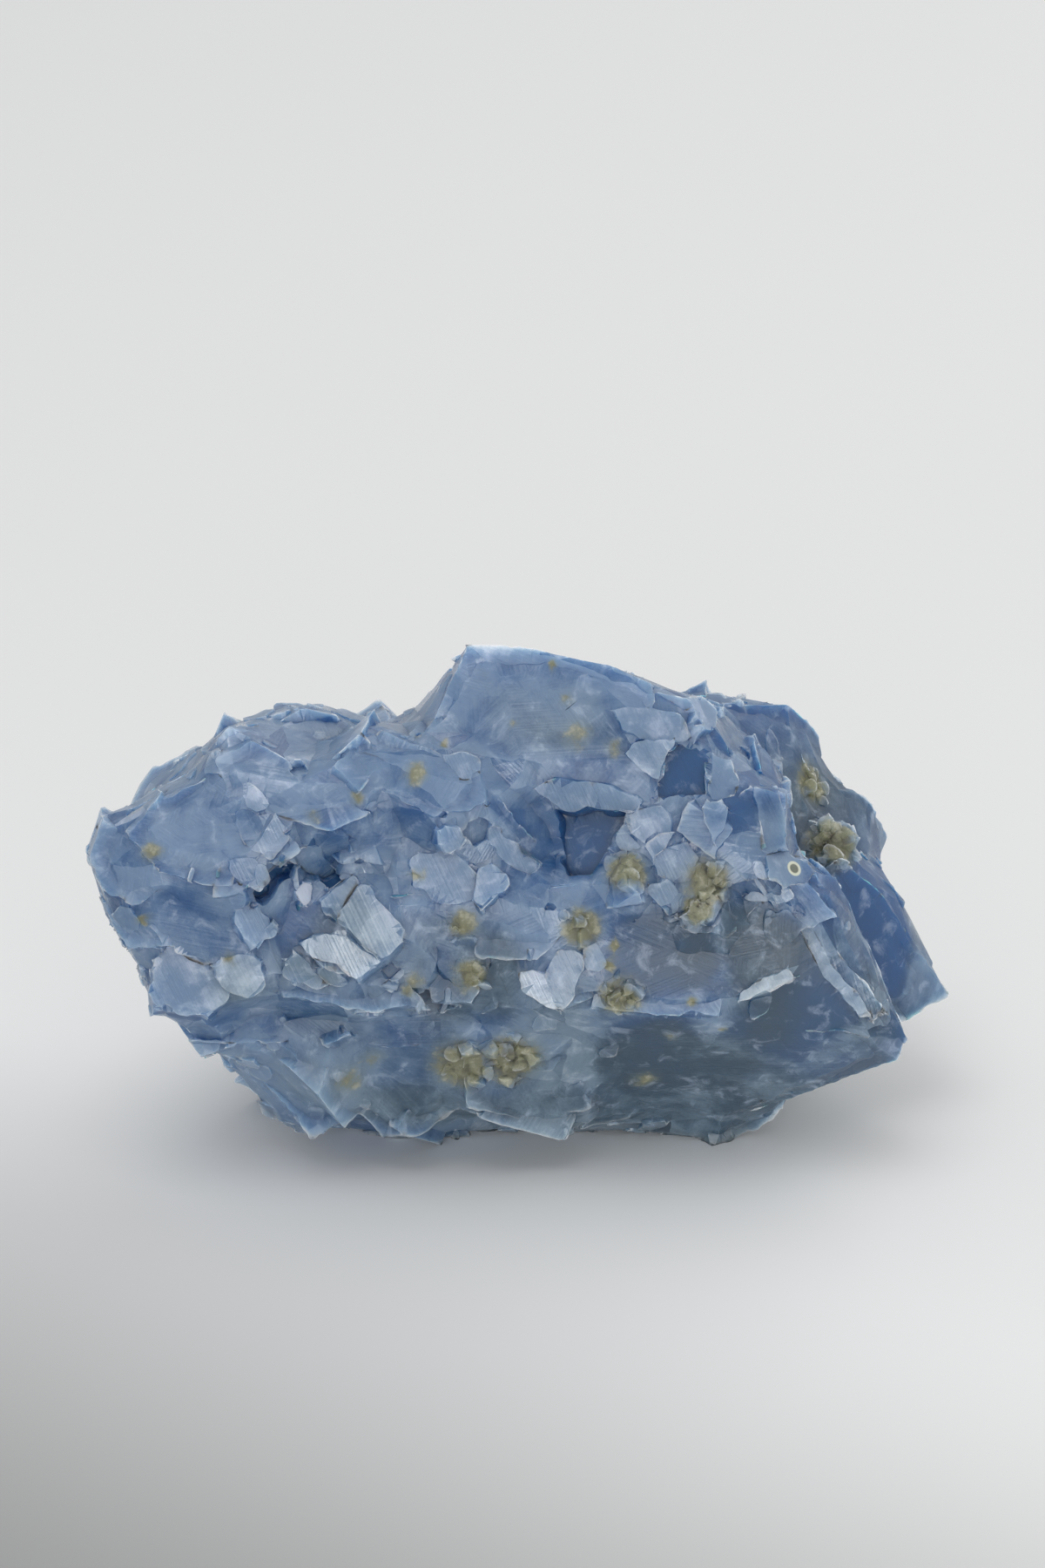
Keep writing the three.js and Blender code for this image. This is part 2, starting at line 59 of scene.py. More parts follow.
# Lengths are in millimetres, except where they are multiplied by MM or belong to the studio.
MM = 0.001
SEED = 7

# The camera, in the photograph's own frame of 1200 x 1800 pixels.
PHOTO_WIDTH = 1200
PHOTO_HEIGHT = 1800
CAMERA_TILT = math.radians(22)
CAMERA_AIM = Vector((-0.22, 8.39, 26.61)) * MM
CAMERA_DISTANCE = 471.8 * MM
SENSOR = 36.0
LENS = 128.2

# The area lights: the place, the target and the size in metres, the power in watts and the colour.
LIGHTS = {
    "back_light": ((0.40, 0.42, 0.50), (0.0, 0.15, 0), (0.9, 0.5), 1.4, (1.0, 0.995, 0.985)),
    "key": ((-0.12, -0.22, 0.60), (0, 0, 0.02), (0.40, 0.30), 0.9, (1.0, 1.0, 1.0)),
    "front_fill": ((0.0, -0.55, 0.10), (0, 0, 0.01), (0.7, 0.14), 1.5, (1.0, 1.0, 1.0)),
}
WORLD_COLOR = (0.81, 0.82, 0.83, 1)
WORLD_STRENGTH = 0.76

# Broken grains, thin flakes on the faces, hollows where others came off, nicked edges and the small
# grains of the olive lumps: how many, how far they reach from the middle, how high or deep they are,
# how far they lean and how deep they are rooted.
GRAINS = {"count": 700, "radius": (1.1, 2.8), "height": (-0.35, 0.20), "lean": 0.13, "root": 1.8}
FLAKES = {"count": 460, "radius": (0.35, 1.9), "height": (0.05, 0.20), "lean": 0.12, "root": 0.9}
HOLLOWS = {"count": 130, "radius": (0.4, 1.5), "height": (0.12, 0.40), "lean": 0.15, "root": 0.9}
EDGE_NICKS = {"count": 330, "radius": (0.25, 0.9), "height": (0.12, 0.45), "lean": 0.5, "root": 0.9}
OLIVE_GRAINS = {"count": 9000, "radius": (0.40, 0.90), "height": (0.0, 0.38), "lean": 0.5, "root": 0.8}

# A flake's outline: the number of its corners, how far they stray from even angles and from the
# radius, how narrow it may be, and how much wider it is at its lower end.
FLAKE_CORNERS = (5, 7)
FLAKE_STRAY = 0.3
FLAKE_REACH = (0.75, 1.15)
FLAKE_SQUASH = (0.55, 1.0)
FLAKE_FLARE = 1.12

# Flakes are joined in batches, whose flakes lie further apart than this many times their radii.
BATCH_GAP = 1.4

# A flake shrinks, step by step, until its rim stands off the surface by less than this.
RIM_GAP = 0.30
RIM_STEPS = 3
RIM_SHRINK = 0.65

# The smoothed copy of the stone that the grains grow on: the size of its cells, its smoothing
# passes, the share of its faces that is kept and how far it is lifted.
ENVELOPE_CELL = 1.0
ENVELOPE_PASSES = 30
ENVELOPE_KEPT = 0.07
ENVELOPE_LIFT = 0.45

# The share of the flakes that is kept where a face turns to the camera by more than this cosine.
FRONT_SHARE = 0.25
FRONT_TURN = 0.25

# How a marked face lies. Its plane is fitted to probes of the surface, taken at these shares of the
# way from each corner to the middle. It turns a little to the camera and passes over a share of the
# probes. The prism that clears the stone above it flares out, the one that fills the stone under it
# is wider at its root, and the two overlap. The mesh's faces within reach of the plane are painted,
# and keep a part of their own variety. A marked hollow tapers to its floor.
MARK_PROBES = (0.15, 0.6)
MARK_FACING = 0.35
MARK_LEVEL = 0.6
MARK_CLEAR = 1.8
MARK_FLARE = 1.03
MARK_ROOT = 2.5
MARK_SPREAD = 1.3
MARK_LAP = 0.03
MARK_REACH = 0.6
MARK_VARIETY = 0.25
HOLLOW_TAPER = 0.9

# Faces of the front that stay bare of flakes: a pixel in the middle of each and a radius. A flake
# keeps this share of its own radius away from them.
PLAIN_MARGIN = 0.6
PLAIN_FACES = {
    "crest, left": ((560, 850), 5.0),
    "crest, middle": ((640, 850), 6.0),
    "crest, right": ((710, 860), 5.0),
    "crest's edge, left": ((580, 768), 4.0),
    "crest's edge, middle": ((640, 778), 4.0),
    "crest's edge, right": ((700, 800), 4.0),
    "blue rectangle": ((800, 890), 2.5),
    "recess under the crest": ((655, 955), 3.5),
    "slab, left": ((350, 1075), 2.4),
    "slab, middle": ((392, 1075), 3.0),
    "slab, right": ((435, 1085), 2.4),
    "dark plate": ((760, 1120), 4.0),
    "under facet": ((800, 1220), 4.5),
    "prow": ((940, 1110), 3.5),
    "wedge": ((1030, 1050), 4.0),
    "wedge tip": ((1070, 1120), 4.0),
}

# The fine mesh: the angle under which neighbouring faces are one, the longest edges, inside a flat
# face and where two faces meet, step by step, and how often a step splits.
DISSOLVED = math.radians(0.2)
MESH_STEPS = ((4.0, 3.0), (2.0, 1.0), (1.6, 0.38))
SPLITS = 4
SAME_PLANE = math.radians(1.0)
SHARP_EDGE = math.radians(16)
RIM_EDGE = math.radians(32)

# How the outlines are rounded, a step in and a step out by turns, and how edges and faces wander:
# (distance, wavelength).
ROUNDING_PASSES = 8
ROUNDING_IN = 0.5
ROUNDING_OUT = -0.51
EDGE_WANDER = ((0.34, 3.2), (0.26, 1.2), (0.12, 0.55))
FACE_WAVE = ((0.10, 7.0), (0.04, 1.6))

# The open sky over a vertex, used to paint shade into the calcite: how far its rays reach, how many
# there are, how wide they fan, how far off the surface they start, and how they turn round it.
SKY_REACH = 7.0
SKY_RAYS = 10
SKY_FAN = 0.85
SKY_START = 0.05
SKY_STRAY = 0.3
GOLDEN_TURN = 0.618

# The tones of the flat faces, as a mean and a spread, and the highest gloss of an unmarked one.
FACE_TONES = (0.5, 0.13)
FACE_GLOSS = 0.8

# The direction across the fine lines of the marked faces: to the right and up in the photograph.
STRIAE_ACROSS = (0.90, 0.43)

# How far behind or before the middle of a tinted area its surface may lie.
TINT_REACH = 8.0

# Colours of the calcite, from deep to pale, where it is blue and where it is teal.
BLUES = ((0.016, 0.082, 0.22, 1), (0.143, 0.226, 0.350, 1), (0.46, 0.52, 0.64, 1))
TEALS = ((0.030, 0.065, 0.105, 1), (0.145, 0.210, 0.27, 1), (0.44, 0.51, 0.56, 1))
VEIL = (0.46, 0.54, 0.66, 1)
# The colour of the outward edges: partly the broken edges' own paleness, partly a painted highlight.
PALE_RIM_AND_HIGHLIGHT = (0.52, 0.60, 0.73, 1)

# How strongly each pattern lightens and darkens the calcite.
PATTERN_STRENGTHS = {
    "clouds": 1.1, "sheets": 0.35, "speckle": 0.20, "blocks": 0.12, "chips": 0.08, "wisps": 0.5
}

# Colours of the olive mineral from dark to pale, of the stained calcite round it and of the ring.
EARTHS = ((0.085, 0.075, 0.030, 1), (0.185, 0.178, 0.088, 1), (0.36, 0.35, 0.25, 1))
STAIN = (0.20, 0.22, 0.15, 1)
RING_MIDDLE = (0.13, 0.13, 0.06, 1)
RING_PALE = (0.62, 0.63, 0.50, 1)

# The paper on the floor: its colours at the front and at the back, the front one darkened by painted shade,
# and that of its faint clouds.
PAPER_SHADED_FRONT_LIT_BACK = ((0.29, 0.29, 0.288, 1), (0.81, 0.81, 0.805, 1))
PAPER_CLOUD = (0.60, 0.60, 0.61, 1)
PAPER_HALF = 4.0

# Faces of the front that can be told apart in the photograph: the tone (0 deepest blue, 1 pale),
# the gloss, the height above what is round it, and the corners in pixels.
MARKED_FACES = {
    "left lobe": (0.88, 0.3, 0.23, (
        (195, 1084), (215, 1096), (243, 1108), (250, 1124), (262, 1138), (258, 1150), (240, 1162),
        (215, 1166), (196, 1160), (178, 1153), (173, 1140), (178, 1124), (176, 1108), (182, 1098))),
    "second lobe": (0.88, 0.4, 0.28, (
        (243, 1107), (256, 1098), (290, 1093), (300, 1103), (302, 1120), (297, 1138), (288, 1142),
        (272, 1142), (260, 1135), (248, 1122))),
    "violet grain": (0.60, 0.3, 0.17, (
        (286, 1037), (298, 1044), (310, 1055), (320, 1066), (317, 1073), (302, 1079), (290, 1090),
        (280, 1078), (271, 1060), (272, 1048))),
    "round facet": (0.40, 0.5, 0.10, (
        (261, 988), (268, 982), (282, 981), (296, 988), (302, 1000), (298, 1014), (288, 1020), (275, 1016),
        (266, 1005))),
    "heart": (0.42, 0.6, 0.10, (
        (267, 937), (273, 930), (282, 929), (290, 935), (307, 933), (296, 953), (283, 971), (276, 958),
        (268, 948))),
    "pale chip": (0.85, 0.5, 0.20, (
        (281, 899), (300, 910), (308, 918), (303, 928), (292, 932), (281, 926))),
    "striped face": (0.66, 0.7, 0.17, (
        (314, 931), (330, 958), (314, 979), (293, 977), (284, 972), (300, 952))),
    "grain over the slab": (0.70, 0.3, 0.20, (
        (332, 976), (346, 968), (368, 972), (376, 986), (386, 998), (372, 1004), (358, 1000), (342, 991))),
    "bright chip": (1.30, 1.0, 0.17, (
        (351, 1008), (359, 1016), (357, 1030), (350, 1040), (343, 1034), (339, 1023))),
    "slab, right": (0.80, 1.0, 0.30, (
        (411, 1015), (421, 1019), (429, 1031), (448, 1050), (460, 1068), (458, 1085), (445, 1098),
        (437, 1100), (415, 1084), (404, 1070), (390, 1056), (392, 1045), (400, 1030))),
    "slab, top": (0.78, 0.9, 0.23, (
        (368, 1035), (385, 1018), (403, 1005), (408, 1016), (397, 1034), (389, 1052), (376, 1045))),
    "slab, middle": (0.78, 1.0, 0.25, (
        (345, 1082), (360, 1073), (386, 1068), (397, 1069), (411, 1082), (437, 1103), (428, 1112),
        (413, 1126), (400, 1118), (385, 1104), (362, 1100), (350, 1092))),
    "slab, left": (0.74, 0.9, 0.23, (
        (338, 1088), (352, 1102), (362, 1118), (372, 1131), (360, 1135), (335, 1127), (322, 1112),
        (328, 1099))),
    "slab, lowest": (0.76, 0.9, 0.25, (
        (366, 1107), (381, 1108), (392, 1119), (396, 1130), (381, 1134), (369, 1126), (363, 1116))),
    "pearl disc": (0.66, 0.5, 0.12, (
        (502, 956), (512, 948), (527, 950), (533, 962), (526, 976), (512, 980), (504, 970))),
    "pale grain, left": (0.70, 0.4, 0.25, (
        (470, 986), (482, 977), (500, 982), (520, 981), (532, 990), (545, 1005), (543, 1030), (525, 1038),
        (505, 1030), (490, 1020), (478, 1017), (472, 1000))),
    "pale grain, right": (0.76, 0.6, 0.25, (
        (548, 1000), (560, 990), (572, 1000), (584, 1014), (578, 1024), (563, 1030), (555, 1041),
        (543, 1031), (546, 1015))),
    "pale flake": (0.78, 0.4, 0.17, (
        (557, 950), (570, 948), (582, 960), (595, 968), (599, 981), (621, 995), (606, 1003), (586, 995),
        (572, 985), (563, 972))),
    "ledge": (0.70, 0.5, 0.23, (
        (613, 905), (626, 897), (700, 903), (736, 916), (734, 930), (690, 925), (676, 922), (662, 930),
        (641, 926), (629, 916))),
    "fan": (0.80, 0.6, 0.23, (
        (721, 936), (735, 930), (760, 925), (776, 940), (771, 955), (751, 958), (740, 968), (726, 958))),
    "nest, left": (0.76, 0.4, 0.17, (
        (706, 965), (712, 945), (722, 945), (723, 958), (735, 972), (718, 978))),
    "nest, wedge": (0.88, 0.8, 0.30, (
        (738, 972), (757, 958), (776, 954), (763, 975), (751, 990), (745, 984))),
    "nest, round": (0.66, 0.4, 0.20, (
        (747, 986), (766, 972), (790, 965), (801, 984), (793, 1005), (775, 1011), (756, 1002))),
    "nest, lowest": (0.86, 0.4, 0.23, (
        (744, 1013), (765, 1005), (780, 1020), (783, 1040), (772, 1045), (756, 1035), (743, 1025))),
    "tooth": (0.84, 0.7, 0.30, (
        (812, 918), (828, 918), (833, 930), (830, 950), (823, 971), (815, 957), (806, 940), (807, 925))),
    "white shard": (1.0, 0.8, 0.30, (
        (596, 1115), (612, 1113), (628, 1118), (634, 1135), (641, 1160), (626, 1155), (611, 1143),
        (601, 1130))),
    "shard's plate": (0.62, 0.6, 0.17, (
        (628, 1118), (641, 1092), (656, 1090), (673, 1095), (670, 1115), (661, 1140), (646, 1158),
        (636, 1148))),
    "pebble": (0.85, 0.3, 0.20, (
        (673, 1085), (689, 1080), (695, 1094), (698, 1108), (686, 1118), (673, 1112))),
    "crest's veil": (0.80, 0.4, 0.05, (
        (702, 815), (740, 812), (775, 820), (786, 832), (791, 846), (770, 851), (742, 850), (716, 836))),
    "crest's shard": (0.84, 0.7, 0.17, (
        (718, 865), (735, 851), (770, 848), (763, 870), (757, 893), (745, 889))),
    "crest's corner": (0.66, 0.5, 0.07, (
        (790, 802), (812, 804), (826, 818), (822, 834), (808, 838), (796, 822))),
    "strip beside the rectangle": (0.66, 0.4, 0.12, (
        (816, 862), (838, 868), (845, 895), (842, 914), (816, 914))),
    "pale polygon": (0.72, 0.4, 0.10, (
        (508, 865), (530, 862), (548, 872), (556, 885), (541, 897), (526, 895), (519, 884))),
    "grey block": (0.56, 0.5, 0.12, (
        (866, 905), (895, 908), (902, 940), (904, 974), (880, 979), (871, 940))),
    "ring's block": (0.70, 0.4, 0.15, (
        (881, 981), (905, 976), (925, 985), (935, 1000), (925, 1014), (896, 1019), (884, 1005))),
    "flake by the ring": (0.95, 0.5, 0.20, ((864, 985), (875, 988), (884, 1005), (880, 1014), (869, 1003))),
    "flake under the ring": (0.85, 0.6, 0.23, (
        (881, 1018), (905, 1019), (912, 1029), (900, 1037), (888, 1037))),
    "small flake": (0.80, 0.5, 0.20, ((854, 1029), (862, 1021), (880, 1028), (882, 1037), (866, 1038))),
    "prow's strip": (0.86, 0.4, 0.17, (
        (848, 1150), (850, 1140), (880, 1122), (908, 1108), (915, 1120), (886, 1138))),
    "prow's ridge": (0.90, 0.5, 0.15, (
        (918, 1066), (930, 1062), (946, 1090), (966, 1124), (990, 1149), (998, 1164), (985, 1164),
        (961, 1140), (936, 1101))),
}

# Deep places, cut into the front: the tone, the gloss, the depth and the corners in pixels.
MARKED_HOLLOWS = {
    "slot": (-0.25, 0.7, 1.6, (
        (326, 984), (344, 994), (338, 1008), (323, 1015), (314, 1031), (303, 1040), (291, 1034),
        (288, 1022), (303, 1014), (310, 999))),
    # Painted shade: the recess under the ledge gets a low tone for the shade that falls in it; the hollow
    # itself is cut.
    "recess under the ledge": (-0.05, 0.4, 0.9, (
        (641, 930), (662, 934), (680, 928), (720, 932), (718, 945), (706, 958), (701, 972), (690, 990),
        (680, 1008), (656, 1008), (647, 985), (641, 960))),
    "blue rectangle": (-0.05, 0.8, 0.5, (
        (764, 862), (773, 852), (813, 862), (811, 914), (752, 917), (754, 899), (760, 893))),
}

# Softer areas of the front: the tone, how much more teal (or bluer, below 0) they are, how many
# pixels their edges fade over, and the corners.
TINTED_AREAS = {
    "left plane": (0.50, -0.2, 8, (
        (188, 925), (230, 920), (262, 936), (268, 952), (282, 974), (262, 988), (268, 1006), (282, 1022),
        (284, 1036), (268, 1046), (240, 1044), (205, 1014), (178, 985), (158, 958))),
    "dark strip": (0.3, 0.0, 7, (
        (168, 1036), (200, 1014), (236, 1042), (262, 1060), (284, 1086), (255, 1096), (224, 1090),
        (190, 1074))),
    "slab bed": (0.14, 0.0, 4, (
        (322, 1042), (352, 1042), (372, 1042), (392, 1058), (410, 1078), (396, 1066), (362, 1070),
        (344, 1080), (330, 1098), (312, 1090), (304, 1080), (322, 1068))),
    "grain under the slab": (0.52, 0.3, 7, (
        (432, 1112), (452, 1102), (462, 1112), (468, 1140), (446, 1162), (424, 1152), (416, 1134))),
    "violet recess": (0.2, -0.2, 6, (
        (566, 926), (590, 919), (610, 912), (627, 920), (639, 940), (647, 985), (640, 1004), (616, 995),
        (599, 976), (590, 950), (572, 940))),
    "dark plate": (-0.16, 0.55, 7, (
        (702, 1063), (722, 1051), (780, 1049), (814, 1062), (822, 1086), (826, 1110), (819, 1138),
        (780, 1143), (732, 1158), (706, 1162), (694, 1148), (702, 1120))),
    "plate's rim": (0.62, 0.3, 6, (
        (690, 1160), (735, 1148), (782, 1142), (818, 1140), (800, 1156), (760, 1156), (720, 1168),
        (694, 1178))),
    "under facet": (0.10, 0.4, 12, (
        (700, 1182), (724, 1170), (762, 1159), (784, 1162), (800, 1190), (830, 1210), (870, 1222),
        (800, 1250), (730, 1262), (690, 1246), (688, 1210))),
    "prow's side": (0.07, -0.1, 10, (
        (850, 1160), (886, 1142), (918, 1122), (938, 1110), (958, 1142), (982, 1168), (940, 1200),
        (880, 1212), (836, 1196), (836, 1172))),
    "crest, upper": (0.50, 0.50, 16, (
        (556, 775), (620, 762), (690, 785), (700, 840), (640, 858), (575, 862), (540, 840))),
    # Painted shade: the recess is tinted to a low tone for the shade that falls in it.
    "recess": (0.0, 0.1, 4, ((641, 930), (720, 932), (701, 972), (680, 1008), (656, 1008), (641, 960))),
    "slab": (0.3, 0.5, 6, (
        (338, 1088), (345, 1078), (368, 1035), (403, 1005), (429, 1031), (460, 1068), (458, 1085),
        (428, 1112), (372, 1135), (322, 1112))),
    "left lobes": (0.5, 0.5, 8, (
        (176, 1090), (243, 1100), (295, 1090), (302, 1140), (215, 1168), (173, 1150))),
    "crest, lower right": (0.34, -0.3, 9, (
        (640, 868), (712, 866), (748, 894), (750, 915), (690, 902), (640, 896))),
    "wedge": (0.02, -0.9, 6, (
        (957, 1008), (985, 992), (1018, 995), (1036, 1040), (1048, 1075), (1040, 1105), (1026, 1142),
        (1010, 1128), (990, 1090), (970, 1050))),
    "wedge's tip": (0.66, -0.3, 6, (
        (1050, 1078), (1068, 1095), (1094, 1146), (1080, 1162), (1045, 1168), (1028, 1148), (1042, 1108))),
    "middle": (0.22, 0.6, 14, (
        (470, 1045), (560, 1042), (604, 1100), (590, 1165), (500, 1180), (462, 1150), (470, 1090))),
    "under the brow": (0.28, 0.0, 12, (
        (352, 930), (420, 915), (500, 930), (515, 950), (490, 975), (440, 985), (390, 972))),
    "right of the nest": (0.26, 0.5, 12, (
        (832, 1040), (870, 1042), (915, 1055), (925, 1100), (880, 1118), (842, 1130), (826, 1090))),
    "above the keel": (0.24, 0.2, 12, ((440, 1170), (530, 1180), (500, 1240), (430, 1240), (400, 1200))),
    "low front": (0.34, 0.6, 16, (
        (480, 1246), (700, 1266), (860, 1262), (720, 1304), (400, 1296), (330, 1256))),
    "low left": (0.56, 0.1, 14, (
        (210, 1190), (330, 1170), (440, 1215), (400, 1290), (300, 1280), (230, 1230))),
    "right shoulder": (0.40, 0.1, 14, (
        (850, 815), (930, 812), (985, 900), (1012, 960), (960, 1000), (905, 972), (872, 900))),
}

# The olive mineral: a pixel in the middle of each lump or stain, its radius and how much of it shows.
# The other sides get more of them, spread at random.
OLIVE_SPOTS = (
    ((720, 998), 2.2, 1.0), ((812, 1012), 2.3, 1.0), ((800, 1042), 1.5, 1.2), ((532, 1060), 1.5, 0.9),
    ((668, 1065), 2.0, 1.0), ((540, 1119), 1.6, 1.0), ((712, 1145), 2.1, 0.9), ((530, 1222), 2.8, 1.0),
    ((588, 1215), 3.0, 1.0), ((957, 968), 2.7, 1.0), ((930, 898), 2.3, 0.9), ((706, 1088), 0.5, 1.2),
    ((699, 1108), 0.5, 1.2), ((795, 1150), 0.6, 0.8), ((830, 1180), 0.5, 0.9), ((475, 1128), 1.3, 0.6),
    ((470, 1140), 0.5, 1.0), ((480, 1003), 0.7, 1.0), ((635, 762), 0.5, 0.9), ((550, 772), 0.4, 0.8),
    ((650, 804), 0.8, 0.7), ((664, 845), 1.6, 0.6), ((705, 859), 1.2, 0.6), ((586, 831), 0.4, 0.9),
    ((478, 888), 1.2, 0.8), ((510, 855), 0.5, 0.7), ((172, 978), 1.0, 0.8), ((165, 1056), 0.7, 0.9),
    ((263, 1102), 0.7, 0.9), ((250, 1086), 0.4, 0.9), ((360, 940), 0.9, 0.7), ((410, 916), 0.8, 0.7),
    ((740, 1240), 1.6, 0.6), ((400, 1240), 1.8, 0.6), ((430, 1215), 1.2, 0.6), ((770, 1190), 0.7, 0.7),
)
OLIVE_HIDDEN = {"count": 44, "radius": (0.7, 2.6)}
HIDDEN_TURN = 0.5

# A spot from this radius and strength up is a lump of small grains, over this share of its radius.
OLIVE_LUMP = 1.2
OLIVE_STRONG = 0.8
OLIVE_CORE = 0.85

# A pale ring round an olive grain: a pixel in its middle and its radius.
RING = (912, 997)
RING_RADIUS = 0.52


def lattice_noise(points, wavelength, seed, channels=1):
    """Smooth noise from -1 to 1 at each point, one column for each channel."""
    cells = points / wavelength
    floor = np.floor(cells).astype(int)
    low = floor.min(0)
    size = floor.max(0) - low + 2
    lattice = np.random.default_rng(seed).uniform(-1, 1, (*size, channels))
    part = cells - floor
    part = part * part * (3 - 2 * part)
    total = np.zeros((len(points), channels))
    for corner in itertools.product((0, 1), repeat=3):
        weight = np.prod(np.where(corner, part, 1 - part), axis=1)
        at = floor - low + corner
        total += weight[:, None] * lattice[at[:, 0], at[:, 1], at[:, 2]]
    return total


# The camera and the light


def camera_axes():
    """The camera's right, up and forward directions."""
    right = Vector((1, 0, 0))
    forward = Vector((0, math.cos(CAMERA_TILT), -math.sin(CAMERA_TILT)))
    return right, right.cross(forward), forward


def add_camera():
    camera = bpy.data.objects.new("camera", bpy.data.cameras.new("camera"))
    camera.data.sensor_fit = "AUTO"
    camera.data.sensor_width = SENSOR
    camera.data.lens = LENS
    camera.data.clip_start = 0.01
    camera.data.dof.use_dof = False
    camera.location = CAMERA_AIM - camera_axes()[2] * CAMERA_DISTANCE
    camera.rotation_euler = (math.pi / 2 - CAMERA_TILT, 0, 0)
    bpy.context.scene.collection.objects.link(camera)
    bpy.context.scene.camera = camera


def photo_ray(pixel):
    """The camera's place, and the direction of its ray through a pixel of the photograph."""
    right, up, forward = camera_axes()
    focal = LENS / SENSOR * PHOTO_HEIGHT
    across, down = pixel[0] - PHOTO_WIDTH / 2, pixel[1] - PHOTO_HEIGHT / 2
    return CAMERA_AIM - forward * CAMERA_DISTANCE, (forward * focal + right * across - up * down).normalized()


def add_area_light(name, place, target, size, power, color):
    light = bpy.data.lights.new(name, "AREA")
    light.shape = "RECTANGLE"
    light.size, light.size_y = size
    light.energy = power
    light.color = color
    lamp = bpy.data.objects.new(name, light)
    lamp.location = place
    lamp.rotation_euler = (Vector(target) - Vector(place)).to_track_quat("-Z", "Y").to_euler()
    bpy.context.scene.collection.objects.link(lamp)


def light_the_studio():
    for name, settings in LIGHTS.items():
        add_area_light(name, *settings)
    world = bpy.data.worlds.new("studio")
    world.use_nodes = True
    back = world.node_tree.nodes["Background"]
    back.inputs["Color"].default_value = WORLD_COLOR
    back.inputs["Strength"].default_value = WORLD_STRENGTH
    bpy.context.scene.world = world
    bpy.context.scene.view_settings.view_transform = "Standard"


# Meshes and booleans


def new_object(name, mesh):
    piece = bpy.data.objects.new(name, mesh)
    bpy.context.scene.collection.objects.link(piece)
    return piece


def closed_copy(node, name):
    """The CAD node's mesh as a new object, with the vertices that its faces share merged."""
    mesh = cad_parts[node].data.copy()
    mesh.attributes.remove(mesh.attributes["custom_normal"])
    welded = bmesh.new()
    welded.from_mesh(mesh)
    bmesh.ops.remove_doubles(welded, verts=welded.verts, dist=1e-7)
    welded.to_mesh(mesh)
    welded.free()
    mesh.materials.clear()
    return new_object(name, mesh)


def combine(piece, cutter_mesh, operation):
    """Joins a mesh to a piece, or cuts it away, and deletes the mesh."""
    cutter = new_object("cutter", cutter_mesh)
    modifier = piece.modifiers.new("combine", "BOOLEAN")
    modifier.object = cutter
    modifier.operation = operation
    modifier.solver = "MANIFOLD"
    evaluated = piece.evaluated_get(bpy.context.evaluated_depsgraph_get())
    result = bpy.data.meshes.new_from_object(evaluated)
    piece.modifiers.clear()
    old = piece.data
    piece.data = result
    bpy.data.meshes.remove(old)
    bpy.data.objects.remove(cutter)
    bpy.data.meshes.remove(cutter_mesh)


def flake_outline(rng, radius):
    """The corners of an irregular flake round the origin."""
    count = rng.randint(*FLAKE_CORNERS)
    start = rng.uniform(0, math.tau)
    squash = rng.uniform(*FLAKE_SQUASH)
    turn = rng.uniform(0, math.tau)
    corners = []
    for i in range(count):
        angle = start + (i + rng.uniform(-FLAKE_STRAY, FLAKE_STRAY)) * math.tau / count
        distance = radius * rng.uniform(*FLAKE_REACH)
        x, y = distance * math.cos(angle), distance * squash * math.sin(angle)
        corners.append((x * math.cos(turn) - y * math.sin(turn), x * math.sin(turn) + y * math.cos(turn)))
    return corners


def add_flake(into, rng, at, out, radius, top, bottom, lean):
    """Adds one flake as a flat-ended prism from top to bottom, measured along out."""
    axis = (out + Vector([rng.uniform(-lean, lean) for _ in range(3)])).normalized()
    across = axis.orthogonal().normalized()
    up = axis.cross(across)
    outline = flake_outline(rng, radius)
    rings = []
    for height, scale in ((bottom, FLAKE_FLARE), (top, 1.0)):
        end = at + axis * height
        rings.append([into.verts.new(end + across * (x * scale) + up * (y * scale)) for x, y in outline])
    low, high = rings
    into.faces.new(list(reversed(low)))
    into.faces.new(high)
    for i in range(len(low)):
        j = (i + 1) % len(low)
        into.faces.new((low[i], low[j], high[j], high[i]))


def fitted(places, mesh):
    """The places, with the flakes made smaller where the surface curves away under them."""
    tree = surface_tree(mesh)
    result = []
    for at, out, radius in places:
        across = out.orthogonal().normalized()
        up = out.cross(across)
        for _ in range(RIM_STEPS):
            rim = [at + (across * math.cos(a) + up * math.sin(a)) * radius for a in range(6)]
            if max(tree.find_nearest(point)[3] for point in rim) < RIM_GAP * MM:
                break
            radius *= RIM_SHRINK
        result.append((at, out, radius))
    return result


def apart(places):
    """Sorts places (position, out, radius) into batches in which none touches another."""
    batches = []
    for place in places:
        for batch in batches:
            if all((place[0] - other[0]).length > BATCH_GAP * (place[2] + other[2]) for other in batch):
                batch.append(place)
                break
        else:
            batches.append([place])
    return batches


def carve(piece, rng, places, kind, operation):
    """Joins flakes to the piece at the places given, or cuts them out of it."""
    joined = operation == "UNION"
    for batch in apart(places):
        cutter = bmesh.new()
        for at, out, radius in batch:
            height = rng.uniform(*kind["height"]) * MM
            root = kind["root"] * MM
            top, bottom = (height, -root) if joined else (root, -height)
            add_flake(cutter, rng, at, out, radius, top, bottom, kind["lean"])
        mesh = bpy.data.meshes.new("flakes")
        cutter.to_mesh(mesh)
        cutter.free()
        combine(piece, mesh, operation)


